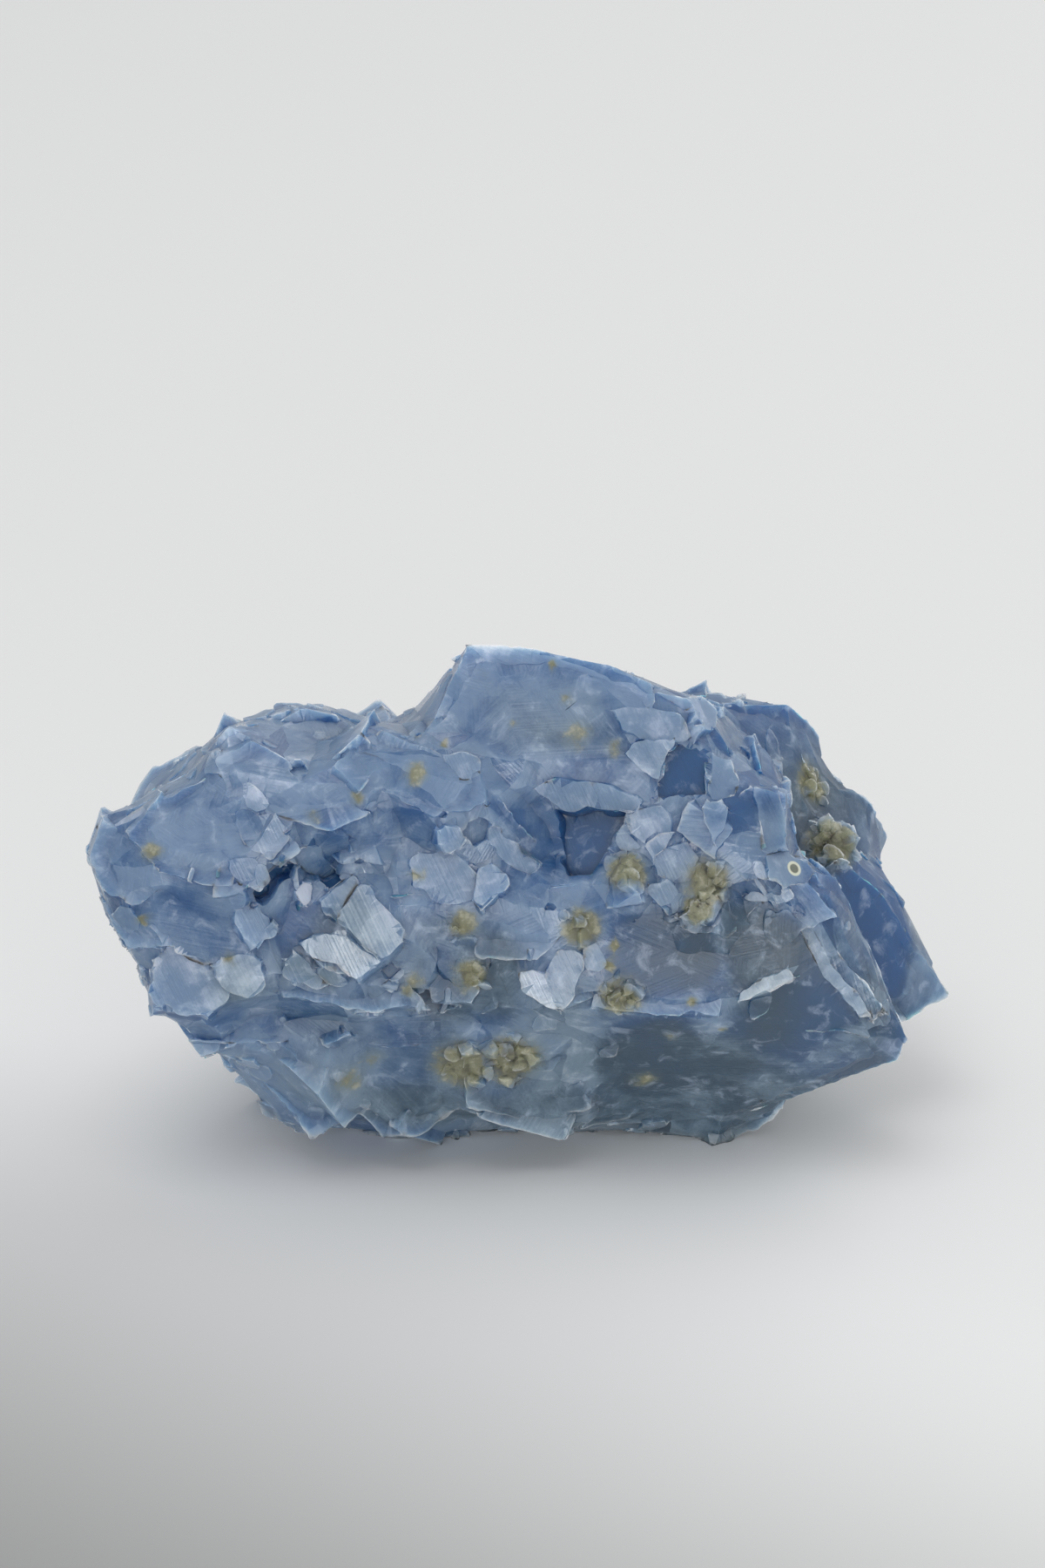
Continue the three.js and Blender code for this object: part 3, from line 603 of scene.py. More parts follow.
def envelope(source):
    """A smoothed copy of the stone, which passes over its narrow gaps."""
    piece = new_object("envelope", source.copy())
    remesh = piece.modifiers.new("remesh", "REMESH")
    remesh.mode = "VOXEL"
    remesh.voxel_size = ENVELOPE_CELL * MM
    smooth = piece.modifiers.new("smooth", "SMOOTH")
    smooth.iterations = ENVELOPE_PASSES
    lift = piece.modifiers.new("lift", "DISPLACE")
    lift.strength = ENVELOPE_LIFT * MM
    lift.mid_level = 0
    fewer = piece.modifiers.new("fewer", "DECIMATE")
    fewer.ratio = ENVELOPE_KEPT
    evaluated = piece.evaluated_get(bpy.context.evaluated_depsgraph_get())
    mesh = bpy.data.meshes.new_from_object(evaluated)
    bpy.data.objects.remove(piece)
    return mesh


def surface_tree(mesh):
    return BVHTree.FromPolygons([v.co for v in mesh.vertices], [p.vertices for p in mesh.polygons])


def stone_at(tree, pixel):
    """The point of the stone that shows at a pixel of the photograph."""
    return tree.ray_cast(*photo_ray(pixel))[0]


def outline_middle(corners):
    return Vector((sum(x for x, _ in corners), sum(y for _, y in corners))) / len(corners)


def marked_plane(tree, corners):
    """A point of the plane of a marked face on the stone, and the plane's outward direction."""
    middle = outline_middle(corners)
    pixels = [middle]
    for share in MARK_PROBES:
        pixels += [Vector(corner).lerp(middle, share) for corner in corners]
    hits = [hit for hit in (stone_at(tree, pixel) for pixel in pixels) if hit]
    points = np.array(hits)
    centre = points.mean(axis=0)
    out = Vector(np.linalg.svd(points - centre)[2][2])
    forward = camera_axes()[2]
    if out.dot(forward) > 0:
        out.negate()
    out = (out - forward * MARK_FACING).normalized()
    level = float(np.quantile((points - centre) @ np.array(out), MARK_LEVEL))
    return Vector(centre) + out * level, out


def on_plane(pixel, point, out):
    """Where the camera's ray through a pixel meets a plane."""
    eye, ray = photo_ray(pixel)
    return eye + ray * ((point - eye).dot(out) / ray.dot(out))


def mark_prism(corners, point, out, low, high):
    """A prism over an outline, between two ends given as (millimetres out of the plane, spread)."""
    work = bmesh.new()
    places = [on_plane(c, point, out) for c in corners]
    middle = sum(places, Vector()) / len(places)
    rings = []
    for height, spread in (low, high):
        rings.append([work.verts.new(middle + (p - middle) * spread + out * (height * MM)) for p in places])
    bottom, top = rings
    ends = [work.faces.new(bottom), work.faces.new(list(reversed(top)))]
    for i in range(len(bottom)):
        j = (i + 1) % len(bottom)
        work.faces.new((bottom[j], bottom[i], top[i], top[j]))
    bmesh.ops.triangulate(work, faces=ends)
    bmesh.ops.recalc_face_normals(work, faces=work.faces)
    mesh = bpy.data.meshes.new("mark")
    work.to_mesh(mesh)
    work.free()
    return mesh


def carve_marks(piece):
    """Cuts and fills the stone to the marked faces and hollows, and returns their planes."""
    planes = {}
    for name, (_, _, rise, corners) in MARKED_FACES.items():
        point, out = marked_plane(surface_tree(piece.data), corners)
        above = mark_prism(corners, point, out, (rise - MARK_LAP, 1.0), (MARK_CLEAR, MARK_FLARE))
        below = mark_prism(corners, point, out, (-MARK_ROOT, MARK_SPREAD), (rise, 1.0))
        combine(piece, above, "DIFFERENCE")
        combine(piece, below, "UNION")
        planes[name] = (point + out * (rise * MM), out)
    for name, (_, _, depth, corners) in MARKED_HOLLOWS.items():
        point, out = marked_plane(surface_tree(piece.data), corners)
        hollow = mark_prism(corners, point, out, (-depth, HOLLOW_TAPER), (MARK_CLEAR, MARK_FLARE))
        combine(piece, hollow, "DIFFERENCE")
        planes[name] = (point - out * (depth * MM), out)
    return planes


def thinned_front(places, rng):
    """Leaves out most of the places that face the camera, where the stone has its own faces."""
    forward = camera_axes()[2]
    return [p for p in places if p[1].dot(forward) > -FRONT_TURN or rng.random() < FRONT_SHARE]


def off_plain_faces(places, source):
    """The places that don't touch a plain face of the stone."""
    tree = surface_tree(source)
    plain = [(stone_at(tree, pixel), radius * MM) for pixel, radius in PLAIN_FACES.values()]
    return [
        (at, out, radius) for at, out, radius in places
        if all((at - middle).length > reach + PLAIN_MARGIN * radius for middle, reach in plain)
    ]


def face_places(mesh, rng, kind):
    """Places spread over the faces of a mesh, by area."""
    mesh.calc_loop_triangles()
    areas = [t.area for t in mesh.loop_triangles]
    places = []
    for triangle in rng.choices(mesh.loop_triangles, weights=areas, k=kind["count"]):
        a, b, c = (mesh.vertices[i].co for i in triangle.vertices)
        s, t = sorted((rng.random(), rng.random()))
        at = a * s + b * (t - s) + c * (1 - t)
        places.append((at, triangle.normal.copy(), rng.uniform(*kind["radius"]) * MM))
    return places


def edge_places(mesh, rng, kind):
    """Places spread over the outward edges of a mesh, by length."""
    work = bmesh.new()
    work.from_mesh(mesh)
    sharp = [e for e in work.edges if e.is_manifold and e.calc_face_angle_signed() > SHARP_EDGE]
    lengths = [e.calc_length() for e in sharp]
    places = []
    for edge in rng.choices(sharp, weights=lengths, k=kind["count"]):
        a, b = (v.co for v in edge.verts)
        out = (edge.link_faces[0].normal + edge.link_faces[1].normal).normalized()
        places.append((a.lerp(b, rng.random()), out, rng.uniform(*kind["radius"]) * MM))
    work.free()
    return places


# The fine mesh


def flat_regions(work):
    """Numbers the flat faces: each face of the mesh gets the number of its plane."""
    layer = work.faces.layers.int.new("region")
    for face in work.faces:
        face[layer] = -1
    count = 0
    flat = math.cos(SAME_PLANE)
    for seed in work.faces:
        if seed[layer] >= 0:
            continue
        seed[layer] = count
        queue = [seed]
        while queue:
            face = queue.pop()
            for edge in face.edges:
                for other in edge.link_faces:
                    if other[layer] < 0 and other.normal.dot(seed.normal) > flat:
                        other[layer] = count
                        queue.append(other)
        count += 1


def inside_face(edge, layer):
    """Whether an edge lies inside one flat face."""
    return len({face[layer] for face in edge.link_faces}) == 1


def refine(work):
    """Splits long edges, down to a finer length where two flat faces meet."""
    layer = work.faces.layers.int["region"]
    bmesh.ops.triangulate(work, faces=work.faces, quad_method="BEAUTY", ngon_method="BEAUTY")
    for inner, outer in MESH_STEPS:
        for _ in range(SPLITS):
            long_edges = []
            for edge in work.edges:
                longest = inner if inside_face(edge, layer) else outer
                if edge.calc_length() > longest * MM:
                    long_edges.append(edge)
            if not long_edges:
                break
            bmesh.ops.subdivide_edges(work, edges=long_edges, cuts=1)
            bmesh.ops.triangulate(work, faces=[f for f in work.faces if len(f.verts) > 3])
        inside = [edge for edge in work.edges if inside_face(edge, layer)]
        bmesh.ops.beautify_fill(work, faces=work.faces, edges=inside, method="ANGLE")


def connected_parts(work):
    """The vertices of a mesh, sorted into the parts that hang together."""
    unseen = set(work.verts)
    parts = []
    while unseen:
        queue = [unseen.pop()]
        part = []
        while queue:
            vertex = queue.pop()
            part.append(vertex)
            for edge in vertex.link_edges:
                other = edge.other_vert(vertex)
                if other in unseen:
                    unseen.remove(other)
                    queue.append(other)
        parts.append(part)
    return parts


def drop_crumbs(work):
    """Deletes the specks that the cuts left loose."""
    parts = connected_parts(work)
    stone = max(parts, key=len)
    crumbs = [vertex for part in parts if part is not stone for vertex in part]
    bmesh.ops.delete(work, geom=crumbs, context="VERTS")


def fine_mesh(piece):
    """Gives a piece its fine mesh, with each face's flat region kept as an attribute."""
    work = bmesh.new()
    work.from_mesh(piece.data)
    bmesh.ops.dissolve_limit(
        work, angle_limit=DISSOLVED, verts=work.verts, edges=work.edges, use_dissolve_boundaries=False
    )
    flat_regions(work)
    refine(work)
    drop_crumbs(work)
    work.to_mesh(piece.data)
    work.free()


def mesh_arrays(mesh):
    """The vertices in millimetres, the triangles and the region of each triangle."""
    points = np.empty(len(mesh.vertices) * 3)
    mesh.vertices.foreach_get("co", points)
    faces = np.empty(len(mesh.polygons) * 3, dtype=int)
    mesh.polygons.foreach_get("vertices", faces)
    region = np.empty(len(mesh.polygons), dtype=int)
    mesh.attributes["region"].data.foreach_get("value", region)
    return points.reshape(-1, 3) / MM, faces.reshape(-1, 3), region


def triangle_normals(points, faces):
    """The unit normal and the area of each triangle."""
    a, b, c = (points[faces[:, i]] for i in range(3))
    cross = np.cross(b - a, c - a)
    double = np.linalg.norm(cross, axis=1)
    return cross / np.maximum(double, 1e-12)[:, None], double / 2


def largest_plane(points, faces, region):
    """For each vertex, the normal of the largest flat region that it belongs to."""
    normals, areas = triangle_normals(points, faces)
    region_area = np.bincount(region, weights=areas)
    region_normal = np.stack([np.bincount(region, weights=areas * normals[:, i]) for i in range(3)], axis=1)
    region_normal /= np.maximum(np.linalg.norm(region_normal, axis=1), 1e-12)[:, None]
    best = np.zeros(len(points))
    for corner in range(3):
        np.maximum.at(best, faces[:, corner], region_area[region])
    plane = np.zeros_like(points)
    for corner in range(3):
        same = region_area[region] == best[faces[:, corner]]
        plane[faces[same, corner]] = region_normal[region[same]]
    return plane


def triangle_edges(faces):
    return np.concatenate([faces[:, (0, 1)], faces[:, (1, 2)], faces[:, (2, 0)]])


def neighbours(faces, region):
    """Pairs of joined vertices: all of them, and those on the lines where flat faces meet."""
    pairs = triangle_edges(faces)
    owner = np.tile(region, 3)
    flipped = pairs[:, 0] > pairs[:, 1]
    pairs[flipped] = pairs[flipped][:, ::-1]
    order = np.lexsort((owner, pairs[:, 1], pairs[:, 0]))
    pairs, owner = pairs[order], owner[order]
    same = (pairs[1:] == pairs[:-1]).all(axis=1)
    meets = same & (owner[1:] != owner[:-1])
    first = np.concatenate([[True], ~same])
    return pairs[first], pairs[1:][meets]


def neighbour_mean(points, pairs):
    """The mean of each vertex's neighbours over the pairs."""
    count = np.bincount(pairs.ravel(), minlength=len(points))
    total = np.zeros_like(points)
    for axis in range(points.shape[1]):
        total[:, axis] = np.bincount(pairs[:, 0], weights=points[pairs[:, 1], axis], minlength=len(points))
        total[:, axis] += np.bincount(pairs[:, 1], weights=points[pairs[:, 0], axis], minlength=len(points))
    return total / np.maximum(count, 1)[:, None]


def round_outlines(points, faces, region):
    """Rounds the outlines of the flat faces without shrinking them, and lets the faces follow."""
    every, outline = neighbours(faces, region)
    on_outline = np.bincount(outline.ravel(), minlength=len(points)) > 1
    for step in range(ROUNDING_PASSES):
        share = ROUNDING_IN if step % 2 == 0 else ROUNDING_OUT
        along = neighbour_mean(points, outline)
        inside = neighbour_mean(points, every)
        target = np.where(on_outline[:, None], along, inside)
        points = points + share * (target - points)
    return points


def weather(piece):
    """Makes the outlines of the faces ragged and their surfaces faintly uneven."""
    points, faces, region = mesh_arrays(piece.data)
    plane = largest_plane(points, faces, region)
    points = round_outlines(points, faces, region)
    shift = np.zeros_like(points)
    for i, (distance, wavelength) in enumerate(EDGE_WANDER):
        shift += distance * lattice_noise(points, wavelength, SEED + i, 3)
    shift -= plane * np.sum(shift * plane, axis=1)[:, None]
    for i, (distance, wavelength) in enumerate(FACE_WAVE):
        shift += plane * (distance * lattice_noise(points, wavelength, SEED + 10 + i))
    points += shift
    low, high = (np.array(corner) / MM for corner in cad_bounds)
    points = np.clip(points, low, high)
    piece.data.vertices.foreach_set("co", (points * MM).ravel())
    piece.data.update()


# What the materials read from the mesh


def store(mesh, name, values, domain):
    """Keeps one number or one vector for each vertex or face as an attribute."""
    kind, key = ("FLOAT_VECTOR", "vector") if values.ndim == 2 else ("FLOAT", "value")
    layer = mesh.attributes.new(name, kind, domain)
    layer.data.foreach_set(key, np.ascontiguousarray(values, dtype=np.float32).ravel())


def region_tones(count):
    """A random tone for each flat region: 0 is the deepest blue and 1 the palest."""
    return np.random.default_rng(SEED).normal(*FACE_TONES, count).clip(0.0, 1.0)


def sky_fan():
    """Directions that fan out of a surface: two along it and one out of it for each."""
    rng = random.Random(SEED)
    fan = []
    for i in range(SKY_RAYS):
        z = 1 - (i + 0.5) / SKY_RAYS * SKY_FAN
        turn = math.tau * i * GOLDEN_TURN + rng.uniform(0, SKY_STRAY)
        side = math.sqrt(1 - z * z)
        fan.append((side * math.cos(turn), side * math.sin(turn), z))
    return fan


def openness(mesh):
    """For each vertex, the share of rays out of the surface that meet nothing near."""
    tree = surface_tree(mesh)
    fan = sky_fan()
    open_share = np.empty(len(mesh.vertices))
    for i, vertex in enumerate(mesh.vertices):
        out = vertex.normal
        across = out.orthogonal().normalized()
        up = out.cross(across)
        start = vertex.co + out * (SKY_START * MM)
        free = 0
        for x, y, z in fan:
            if tree.ray_cast(start, across * x + up * y + out * z, SKY_REACH * MM)[0] is None:
                free += 1
        open_share[i] = free / SKY_RAYS
    return open_share


def smoothed(values, faces, passes):
    """Averages the values of neighbouring vertices a number of times."""
    edges = triangle_edges(faces)
    for _ in range(passes):
        values = 0.5 * values + 0.5 * neighbour_mean(values[:, None], edges)[:, 0]
    return values


def outward_edges(mesh, faces):
    """1 at the vertices of sharp outward edges and 0 elsewhere."""
    work = bmesh.new()
    work.from_mesh(mesh)
    on_edge = np.zeros(len(mesh.vertices))
    for edge in work.edges:
        if edge.is_manifold and edge.calc_face_angle_signed() > RIM_EDGE:
            for vertex in edge.verts:
                on_edge[vertex.index] = 1
    work.free()
    return smoothed(on_edge, faces, 1)


def olive_spots(mesh, rng):
    """The middle, the radius and the strength of each olive lump or stain on the stone."""
    tree = surface_tree(mesh)
    forward = camera_axes()[2]
    spots = []
    for pixel, radius, strength in OLIVE_SPOTS:
        at = stone_at(tree, pixel)
        if at:
            spots.append((at, radius * MM, strength))
    for at, out, radius in face_places(mesh, rng, OLIVE_HIDDEN):
        if out.dot(forward) > HIDDEN_TURN:
            spots.append((at, radius, 1.0))
    return spots


def olive_places(mesh, rng, spots):
    """Places for the small grains of the olive lumps."""
    lumps = [spot for spot in spots if spot[1] > OLIVE_LUMP * MM and spot[2] > OLIVE_STRONG]
    places = face_places(mesh, rng, OLIVE_GRAINS)
    return [p for p in places if any((p[0] - at).length < OLIVE_CORE * radius for at, radius, _ in lumps)]


def olive_share(points, spots):
    """How olive each point is: 1 in the middle of a strong lump, falling to 0 outside it."""
    share = np.zeros(len(points))
    for at, radius, strength in spots:
        away = np.linalg.norm(points - np.array(at) / MM, axis=1) / (radius / MM)
        share = np.maximum(share, strength * (1.25 - away).clip(0, 1))
    return share


def photo_pixels(points):
    """Where points in millimetres fall in the photograph."""
    right, up, forward = (np.array(axis) for axis in camera_axes())
    eye = np.array(CAMERA_AIM) / MM - forward * CAMERA_DISTANCE / MM
    focal = LENS / SENSOR * PHOTO_HEIGHT
    away = points - eye
    depth = away @ forward
    return PHOTO_WIDTH / 2 + away @ right / depth * focal, PHOTO_HEIGHT / 2 - away @ up / depth * focal


def inside_outline(across, down, corners):
    """Which of the places in the photograph are inside an outline."""
    inside = np.zeros(len(across), dtype=bool)
    for (x0, y0), (x1, y1) in zip(corners, corners[1:] + corners[:1]):
        crosses = (y0 > down) != (y1 > down)
        inside ^= crosses & (across < (x1 - x0) * (down - y0) / (y1 - y0 + 1e-9) + x0)
    return inside


def inside_share(across, down, corners, softness):
    """1 inside an outline in the photograph and 0 outside it, with a soft step between."""
    nearest = np.full(len(across), np.inf)
    for (x0, y0), (x1, y1) in zip(corners, corners[1:] + corners[:1]):
        dx, dy = x1 - x0, y1 - y0
        along = (((across - x0) * dx + (down - y0) * dy) / (dx * dx + dy * dy)).clip(0, 1)
        nearest = np.minimum(nearest, np.hypot(across - x0 - along * dx, down - y0 - along * dy))
    signed = np.where(inside_outline(across, down, corners), nearest, -nearest)
    return (0.5 + signed / (2 * softness)).clip(0, 1)


def paint_marks(planes, middle, tone, gloss):
    """Gives the faces that lie on a marked face its tone and gloss, and returns which they are."""
    across, down = photo_pixels(middle)
    marked = np.zeros(len(middle))
    for name, (value, shine, _, corners) in (MARKED_FACES | MARKED_HOLLOWS).items():
        point, out = planes[name]
        above = (middle - np.array(point) / MM) @ np.array(out)
        on_face = (np.abs(above) < MARK_REACH) & inside_outline(across, down, corners)
        tone[on_face] = MARK_VARIETY * (tone[on_face] - FACE_TONES[0]) + value
        gloss[on_face] = shine
        marked[on_face] = 1
    return marked


def paint_tints(mesh, points):
    """For each vertex, the tone of the tinted area that it is in, its share in it, and its hue."""
    tree = surface_tree(mesh)
    forward = camera_axes()[2]
    normals = np.empty(len(points) * 3)
    mesh.vertices.foreach_get("normal", normals)
    seen = normals.reshape(-1, 3) @ np.array(forward) < 0.1
    away = points @ np.array(forward)
    across, down = photo_pixels(points)
    tint, share, hue = (np.zeros(len(points)) for _ in range(3))
    for tone, teal, softness, corners in TINTED_AREAS.values():
        at = stone_at(tree, outline_middle(corners))
        near = np.flatnonzero(seen & (np.abs(away - at.dot(forward) / MM) < TINT_REACH))
        part = inside_share(across[near], down[near], corners, softness)
        tint[near] += part * (tone - tint[near])
        hue[near] += part * (teal - hue[near])
        share[near] = np.maximum(share[near], part)
    return tint, share, hue


def describe_surface(piece, planes, spots):
    """Stores the attributes that the calcite's material reads."""
    mesh = piece.data
    points, faces, region = mesh_arrays(mesh)
    rng = np.random.default_rng(SEED + 1)
    count = region.max() + 1
    axes = rng.normal(size=(count, 3))
    axes /= np.linalg.norm(axes, axis=1)[:, None]
    grain = axes[region]
    tone = region_tones(count)[region]
    gloss = rng.uniform(0, FACE_GLOSS, count)[region]
    marked = paint_marks(planes, points[faces].mean(axis=1), tone, gloss)
    right, up, _ = camera_axes()
    grain[marked > 0] = np.array(STRIAE_ACROSS[0] * right + STRIAE_ACROSS[1] * up)
    tint, share, hue = paint_tints(mesh, points)
    on_faces = {"tone": tone, "gloss": gloss, "grain": grain, "marked": marked}
    for name, values in on_faces.items():
        store(mesh, name, values, "FACE")
    on_points = {
        "open_sky_for_shade": smoothed(openness(mesh), faces, 2),
        "outward": outward_edges(mesh, faces),
        "olive": olive_share(points, spots),
        "tint": tint,
        "tint_share": share,
        "hue": hue,
    }
    for name, values in on_points.items():
        store(mesh, name, values, "POINT")


# Materials


class Nodes:
    """A material's node tree, with short ways to add and link nodes."""

    def __init__(self, name):
        self.material = bpy.data.materials.new(name)
        self.material.use_nodes = True
        self.tree = self.material.node_tree
        self.shader = self.tree.nodes["Principled BSDF"]

    def add(self, kind, **settings):
        node = self.tree.nodes.new(kind)
        for key, value in settings.items():
            setattr(node, key, value)
        return node

    def put(self, value, socket):
        """Links an output to an input, or sets the input to a plain value."""
        if isinstance(value, bpy.types.NodeSocket):
            self.tree.links.new(value, socket)
        else:
            socket.default_value = value

    def attribute(self, name, output="Fac"):
        return self.add("ShaderNodeAttribute", attribute_name=name).outputs[output]

    def math(self, operation, *values):
        node = self.add("ShaderNodeMath", operation=operation)
        for value, socket in zip(values, node.inputs):
            self.put(value, socket)
        return node.outputs[0]

    def shifted(self, level, pattern, strength, middle=0.5):
        """A level that is higher where a pattern is above its middle, and lower where it is below."""
        return self.math("MULTIPLY_ADD", self.math("SUBTRACT", pattern, middle), strength, level)

    def vector(self, operation, *values):
        node = self.add("ShaderNodeVectorMath", operation=operation)
        for value, socket in zip(values, node.inputs):
            self.put(value, socket)
        return node.outputs["Value" if operation in ("DOT_PRODUCT", "DISTANCE") else "Vector"]

    def millimetres(self):
        place = self.add("ShaderNodeTexCoord").outputs["Object"]
        return self.vector("MULTIPLY", place, (1 / MM,) * 3)

    def noise(self, place, scale, detail=2.0, roughness=0.5, distortion=0.0, output="Fac"):
        node = self.add("ShaderNodeTexNoise")
        self.put(place, node.inputs["Vector"])
        node.inputs["Scale"].default_value = scale
        node.inputs["Detail"].default_value = detail
        node.inputs["Roughness"].default_value = roughness
        node.inputs["Distortion"].default_value = distortion
        return node.outputs[output]

    def cells(self, place, scale):
        """A random number for each cell of a broken pattern."""
        cell = self.add("ShaderNodeTexVoronoi")
        self.put(place, cell.inputs["Vector"])
        cell.inputs["Scale"].default_value = scale
        split = self.add("ShaderNodeSeparateColor")
        self.put(cell.outputs["Color"], split.inputs[0])
        return split.outputs[0]

    def bands(self, along, scale, detail=3.0):
        """Noise that changes with one number only."""
        node = self.add("ShaderNodeTexNoise", noise_dimensions="1D")
        self.put(along, node.inputs["W"])
        node.inputs["Scale"].default_value = scale
        node.inputs["Detail"].default_value = detail
        return node.outputs["Fac"]

    def between(self, value, low, high, to_low=0.0, to_high=1.0):
        """Maps a value from one range to another, held at the ends."""
        node = self.add("ShaderNodeMapRange", interpolation_type="SMOOTHSTEP")
        for item, socket in zip((value, low, high, to_low, to_high), node.inputs):
            self.put(item, socket)
        return node.outputs["Result"]

    def mix(self, share, first, second):
        node = self.add("ShaderNodeMix", data_type="RGBA")
        self.put(share, node.inputs[0])
        self.put(first, node.inputs[6])
        self.put(second, node.inputs[7])
        return node.outputs[2]

    def bump(self, height, distance, strength=1.0, normal=None):
        node = self.add("ShaderNodeBump")
        node.inputs["Distance"].default_value = distance
        node.inputs["Strength"].default_value = strength
        self.put(height, node.inputs["Height"])
        if normal is not None:
            self.put(normal, node.inputs["Normal"])
        return node.outputs["Normal"]


def calcite_patterns(n, place):
    """The patterns that the calcite's colour and its bumps share."""
    away = n.vector("SUBTRACT", n.noise(place, 0.8, detail=4.0, output="Color"), (0.5, 0.5, 0.5))
    bent = n.vector("MULTIPLY_ADD", away, (1.8, 1.8, 1.8), place)
    along = n.vector("DOT_PRODUCT", place, n.attribute("grain", "Vector"))
    return {
        "clouds": n.noise(place, 0.20, detail=5.0, roughness=0.55, distortion=0.5),
        "wisps": n.noise(place, 0.55, detail=6.0, roughness=0.62, distortion=0.6),
        "blocks": n.cells(bent, 0.30),
        "chips": n.cells(bent, 0.9),
        "striae": n.bands(along, 5.0),
        "sheets": n.bands(along, 0.5, detail=6.0),
        "speckle": n.noise(place, 5.0, detail=4.0, roughness=0.7),
    }


def calcite_level(n, place, patterns, share):
    """How pale the calcite is: about 0 where it is deepest and 1 where it is palest, with painted shade
    darkening its recesses and its right side.
    """
    tone = n.attribute("tone")
    level = n.math("MULTIPLY_ADD", n.math("SUBTRACT", n.attribute("tint"), tone), share, tone)
    lined = n.between(n.attribute("gloss"), 0.84, 0.9, 0.14, 0.42)
    level = n.shifted(level, patterns["striae"], lined)
    for name, strength in PATTERN_STRENGTHS.items():
        level = n.shifted(level, patterns[name], strength)
    # Painted shade: the calcite is darker where little open sky is over it, in its recesses and creases.
    level = n.shifted(level, n.between(n.attribute("open_sky_for_shade"), 0.1, 0.85), 0.35, middle=1.0)
    # Painted shade: the calcite is made darker towards the right, the more the further right it is.
    right = n.vector("DOT_PRODUCT", place, (1.0, 0.0, 0.0))
    return n.math("SUBTRACT", level, n.between(right, -4.0, 26.0, 0.09, 0.32))


def calcite_color(n, place, level, wisps):
    """Blue to teal calcite, with pale veils in it and pale outward edges, partly their own paleness and
    partly a painted highlight.
    """
    depth = n.between(level, -0.1, 0.5)
    light = n.between(level, 0.5, 1.1)
    blue, teal = (n.mix(light, n.mix(depth, deep, middle), pale) for deep, middle, pale in (BLUES, TEALS))
    towards_teal = n.vector("DOT_PRODUCT", place, (0.016, 0.0, -0.022))
    towards_teal = n.shifted(towards_teal, n.noise(place, 0.09), 2.4)
    towards_teal = n.math("ADD", towards_teal, n.attribute("hue"))
    color = n.mix(n.between(towards_teal, -0.75, 0.50), blue, teal)
    color = n.mix(n.between(wisps, 0.54, 0.72, 0.0, 0.35), color, VEIL)
    # Outward edges: partly their own pale colour, partly a painted highlight where they would catch light.
    return n.mix(n.between(n.attribute("outward"), 0.72, 1.0, 0.0, 0.22), color, PALE_RIM_AND_HIGHLIGHT)


def with_olive(n, place, color):
    """A colour with the olive mineral and the stain round it, and how much mineral shows."""
    olive = n.attribute("olive")
    crumbs = n.noise(place, 0.9, detail=5.0, roughness=0.6)
    dark, middle, pale = EARTHS
    earth = n.mix(n.between(crumbs, 0.36, 0.50), dark, middle)
    earth = n.mix(n.between(crumbs, 0.52, 0.68), earth, pale)
    mineral = n.between(n.shifted(olive, crumbs, 1.2), 0.30, 0.75)
    color = n.mix(n.between(olive, 0.02, 0.7, 0.0, 0.40), color, STAIN)
    return n.mix(n.math("MULTIPLY", mineral, 0.85), color, earth), mineral


def with_ring(n, place, ring, color):
    """A colour with one small ring, whose middle is given."""
    from_ring = n.vector("DISTANCE", place, tuple(ring))
    color = n.mix(n.between(from_ring, RING_RADIUS - 0.1, RING_RADIUS, 0.8, 0.0), color, RING_MIDDLE)
    off_ring = n.math("ABSOLUTE", n.math("SUBTRACT", from_ring, RING_RADIUS))
    return n.mix(n.between(off_ring, 0.06, 0.18, 0.9, 0.0), color, RING_PALE)


def calcite_normal(n, place, patterns):
    """Fine lines, low steps between the blocks and a faint unevenness."""
    normal = n.bump(patterns["striae"], 0.08 * MM, 0.35)
    normal = n.bump(patterns["blocks"], 0.06 * MM, 0.5, normal)
    return n.bump(n.noise(place, 1.1, detail=5.0, roughness=0.55), 0.25 * MM, 0.25, normal)


def calcite_material(ring):
    """Translucent calcite with its olive mineral, and one ring round the point given."""
    n = Nodes("calcite")
    place = n.millimetres()
    patterns = calcite_patterns(n, place)
    share = n.math("MULTIPLY", n.attribute("tint_share"), n.math("SUBTRACT", 1.0, n.attribute("marked")))
    level = calcite_level(n, place, patterns, share)
    color, mineral = with_olive(n, place, calcite_color(n, place, level, patterns["wisps"]))
    shine = n.math("MULTIPLY", n.attribute("gloss"), n.math("SUBTRACT", 1.0, share))
    rough = n.between(shine, 0.0, 1.0, 0.42, 0.14)
    sockets = n.shader.inputs
    n.put(with_ring(n, place, ring, color), sockets["Base Color"])
    n.put(n.math("MULTIPLY_ADD", mineral, 0.25, rough), sockets["Roughness"])
    n.put(calcite_normal(n, place, patterns), sockets["Normal"])
    sockets["IOR"].default_value = 1.62
    sockets["Subsurface Weight"].default_value = 1.0
    sockets["Subsurface Radius"].default_value = (1.0, 1.2, 1.45)
    sockets["Subsurface Scale"].default_value = 4.0 * MM
    return n.material


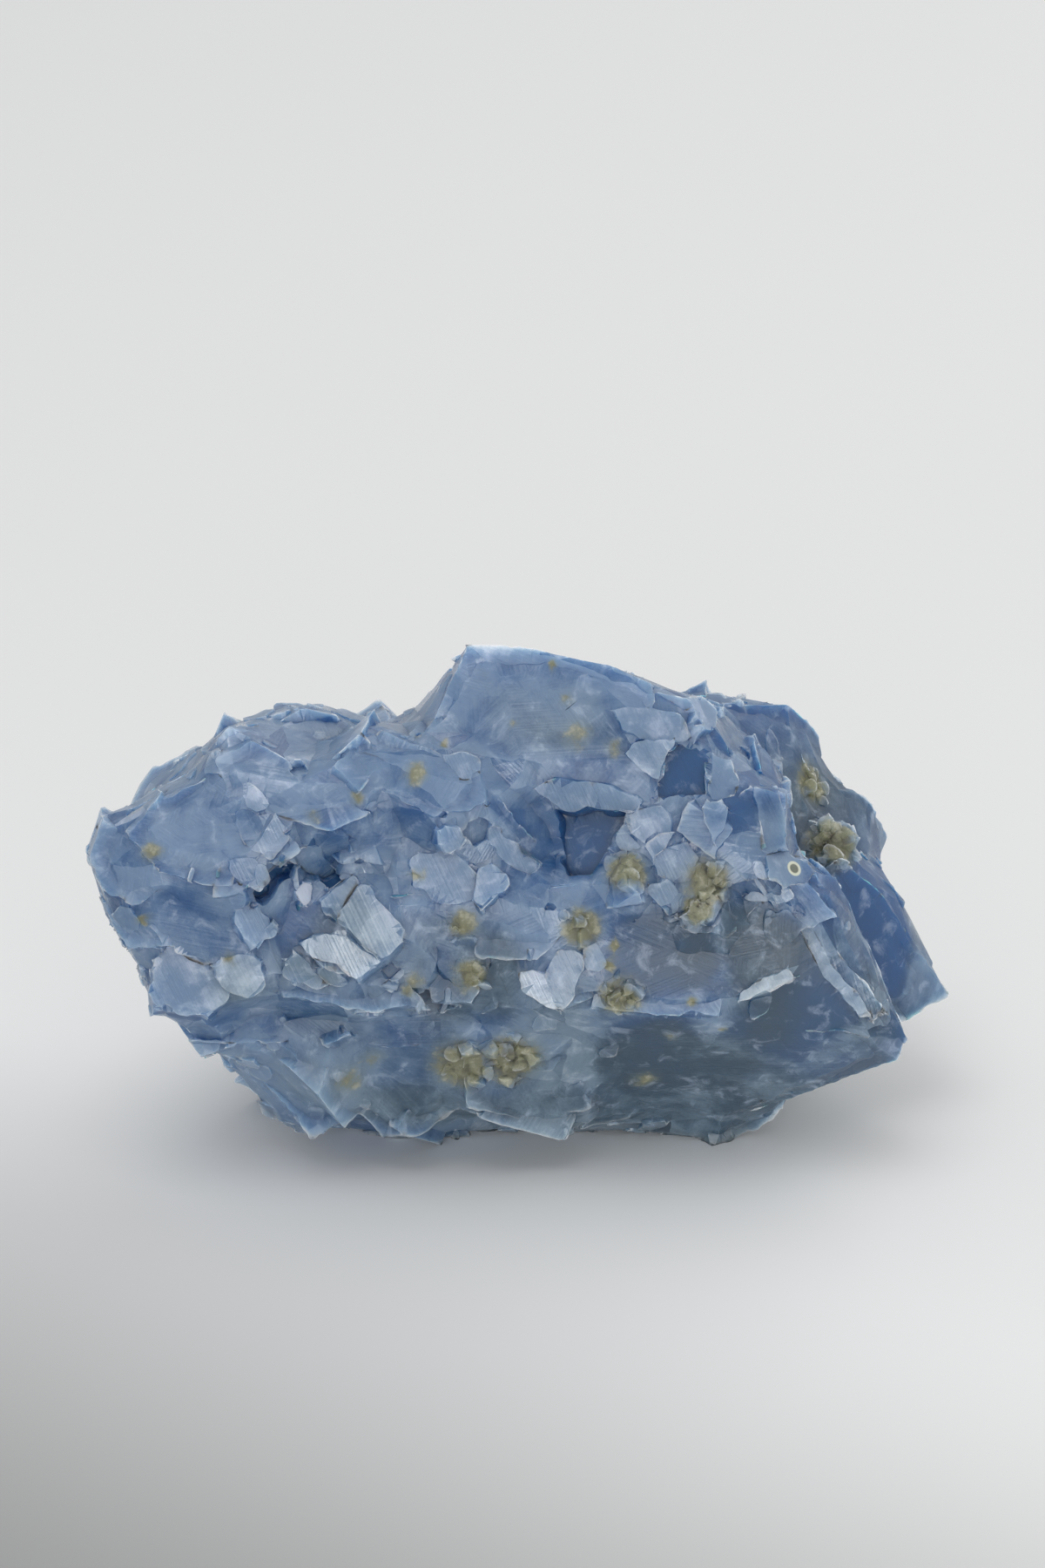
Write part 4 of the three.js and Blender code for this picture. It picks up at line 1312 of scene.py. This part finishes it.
def floor_material():
    """Pale grey paper, darkened towards the front left by painted shade."""
    n = Nodes("floor")
    place = n.millimetres()
    back = n.vector("DOT_PRODUCT", place, (0.7, 1.0, 0.0))
    # Painted shade: the paper darkens from the back right towards the front left.
    color = n.mix(n.between(back, -120.0, -10.0), *PAPER_SHADED_FRONT_LIT_BACK)
    color = n.mix(n.math("MULTIPLY", n.noise(place, 0.02), 0.04), color, PAPER_CLOUD)
    n.put(color, n.shader.inputs["Base Color"])
    n.shader.inputs["Roughness"].default_value = 0.7
    return n.material


def add_floor():
    mesh = bpy.data.meshes.new("floor")
    corners = [(x * PAPER_HALF, y * PAPER_HALF, 0) for x, y in ((-1, -1), (1, -1), (1, 1), (-1, 1))]
    mesh.from_pydata(corners, [], [(0, 1, 2, 3)])
    mesh.materials.append(floor_material())
    new_object("floor", mesh)


def build_stone():
    stone = closed_copy("blue_calcite", "calcite_stone")
    source = stone.data.copy()
    rng = random.Random(SEED)
    smooth = envelope(source)
    grains = thinned_front(off_plain_faces(face_places(smooth, rng, GRAINS), source), rng)
    grains = fitted(grains, smooth)
    combine(stone, smooth, "UNION")
    carve(stone, rng, grains, GRAINS, "UNION")
    planes = carve_marks(stone)
    for kind, operation in ((FLAKES, "UNION"), (HOLLOWS, "DIFFERENCE")):
        places = off_plain_faces(face_places(stone.data, rng, kind), source)
        carve(stone, rng, fitted(thinned_front(places, rng), stone.data), kind, operation)
    nicks = thinned_front(edge_places(stone.data, rng, EDGE_NICKS), rng)
    carve(stone, rng, nicks, EDGE_NICKS, "DIFFERENCE")
    spots = olive_spots(stone.data, rng)
    carve(stone, rng, olive_places(stone.data, rng, spots), OLIVE_GRAINS, "UNION")
    fine_mesh(stone)
    weather(stone)
    describe_surface(stone, planes, spots)
    bpy.data.meshes.remove(source)
    stone.data.materials.clear()
    ring = stone_at(surface_tree(stone.data), RING) / MM
    stone.data.materials.append(calcite_material(ring))
    stone.data.shade_smooth()
    stone.data.set_sharp_from_angle(angle=SHARP_EDGE)
    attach(stone, "root")
    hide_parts("blue_calcite")


add_camera()
light_the_studio()
add_floor()
build_stone()
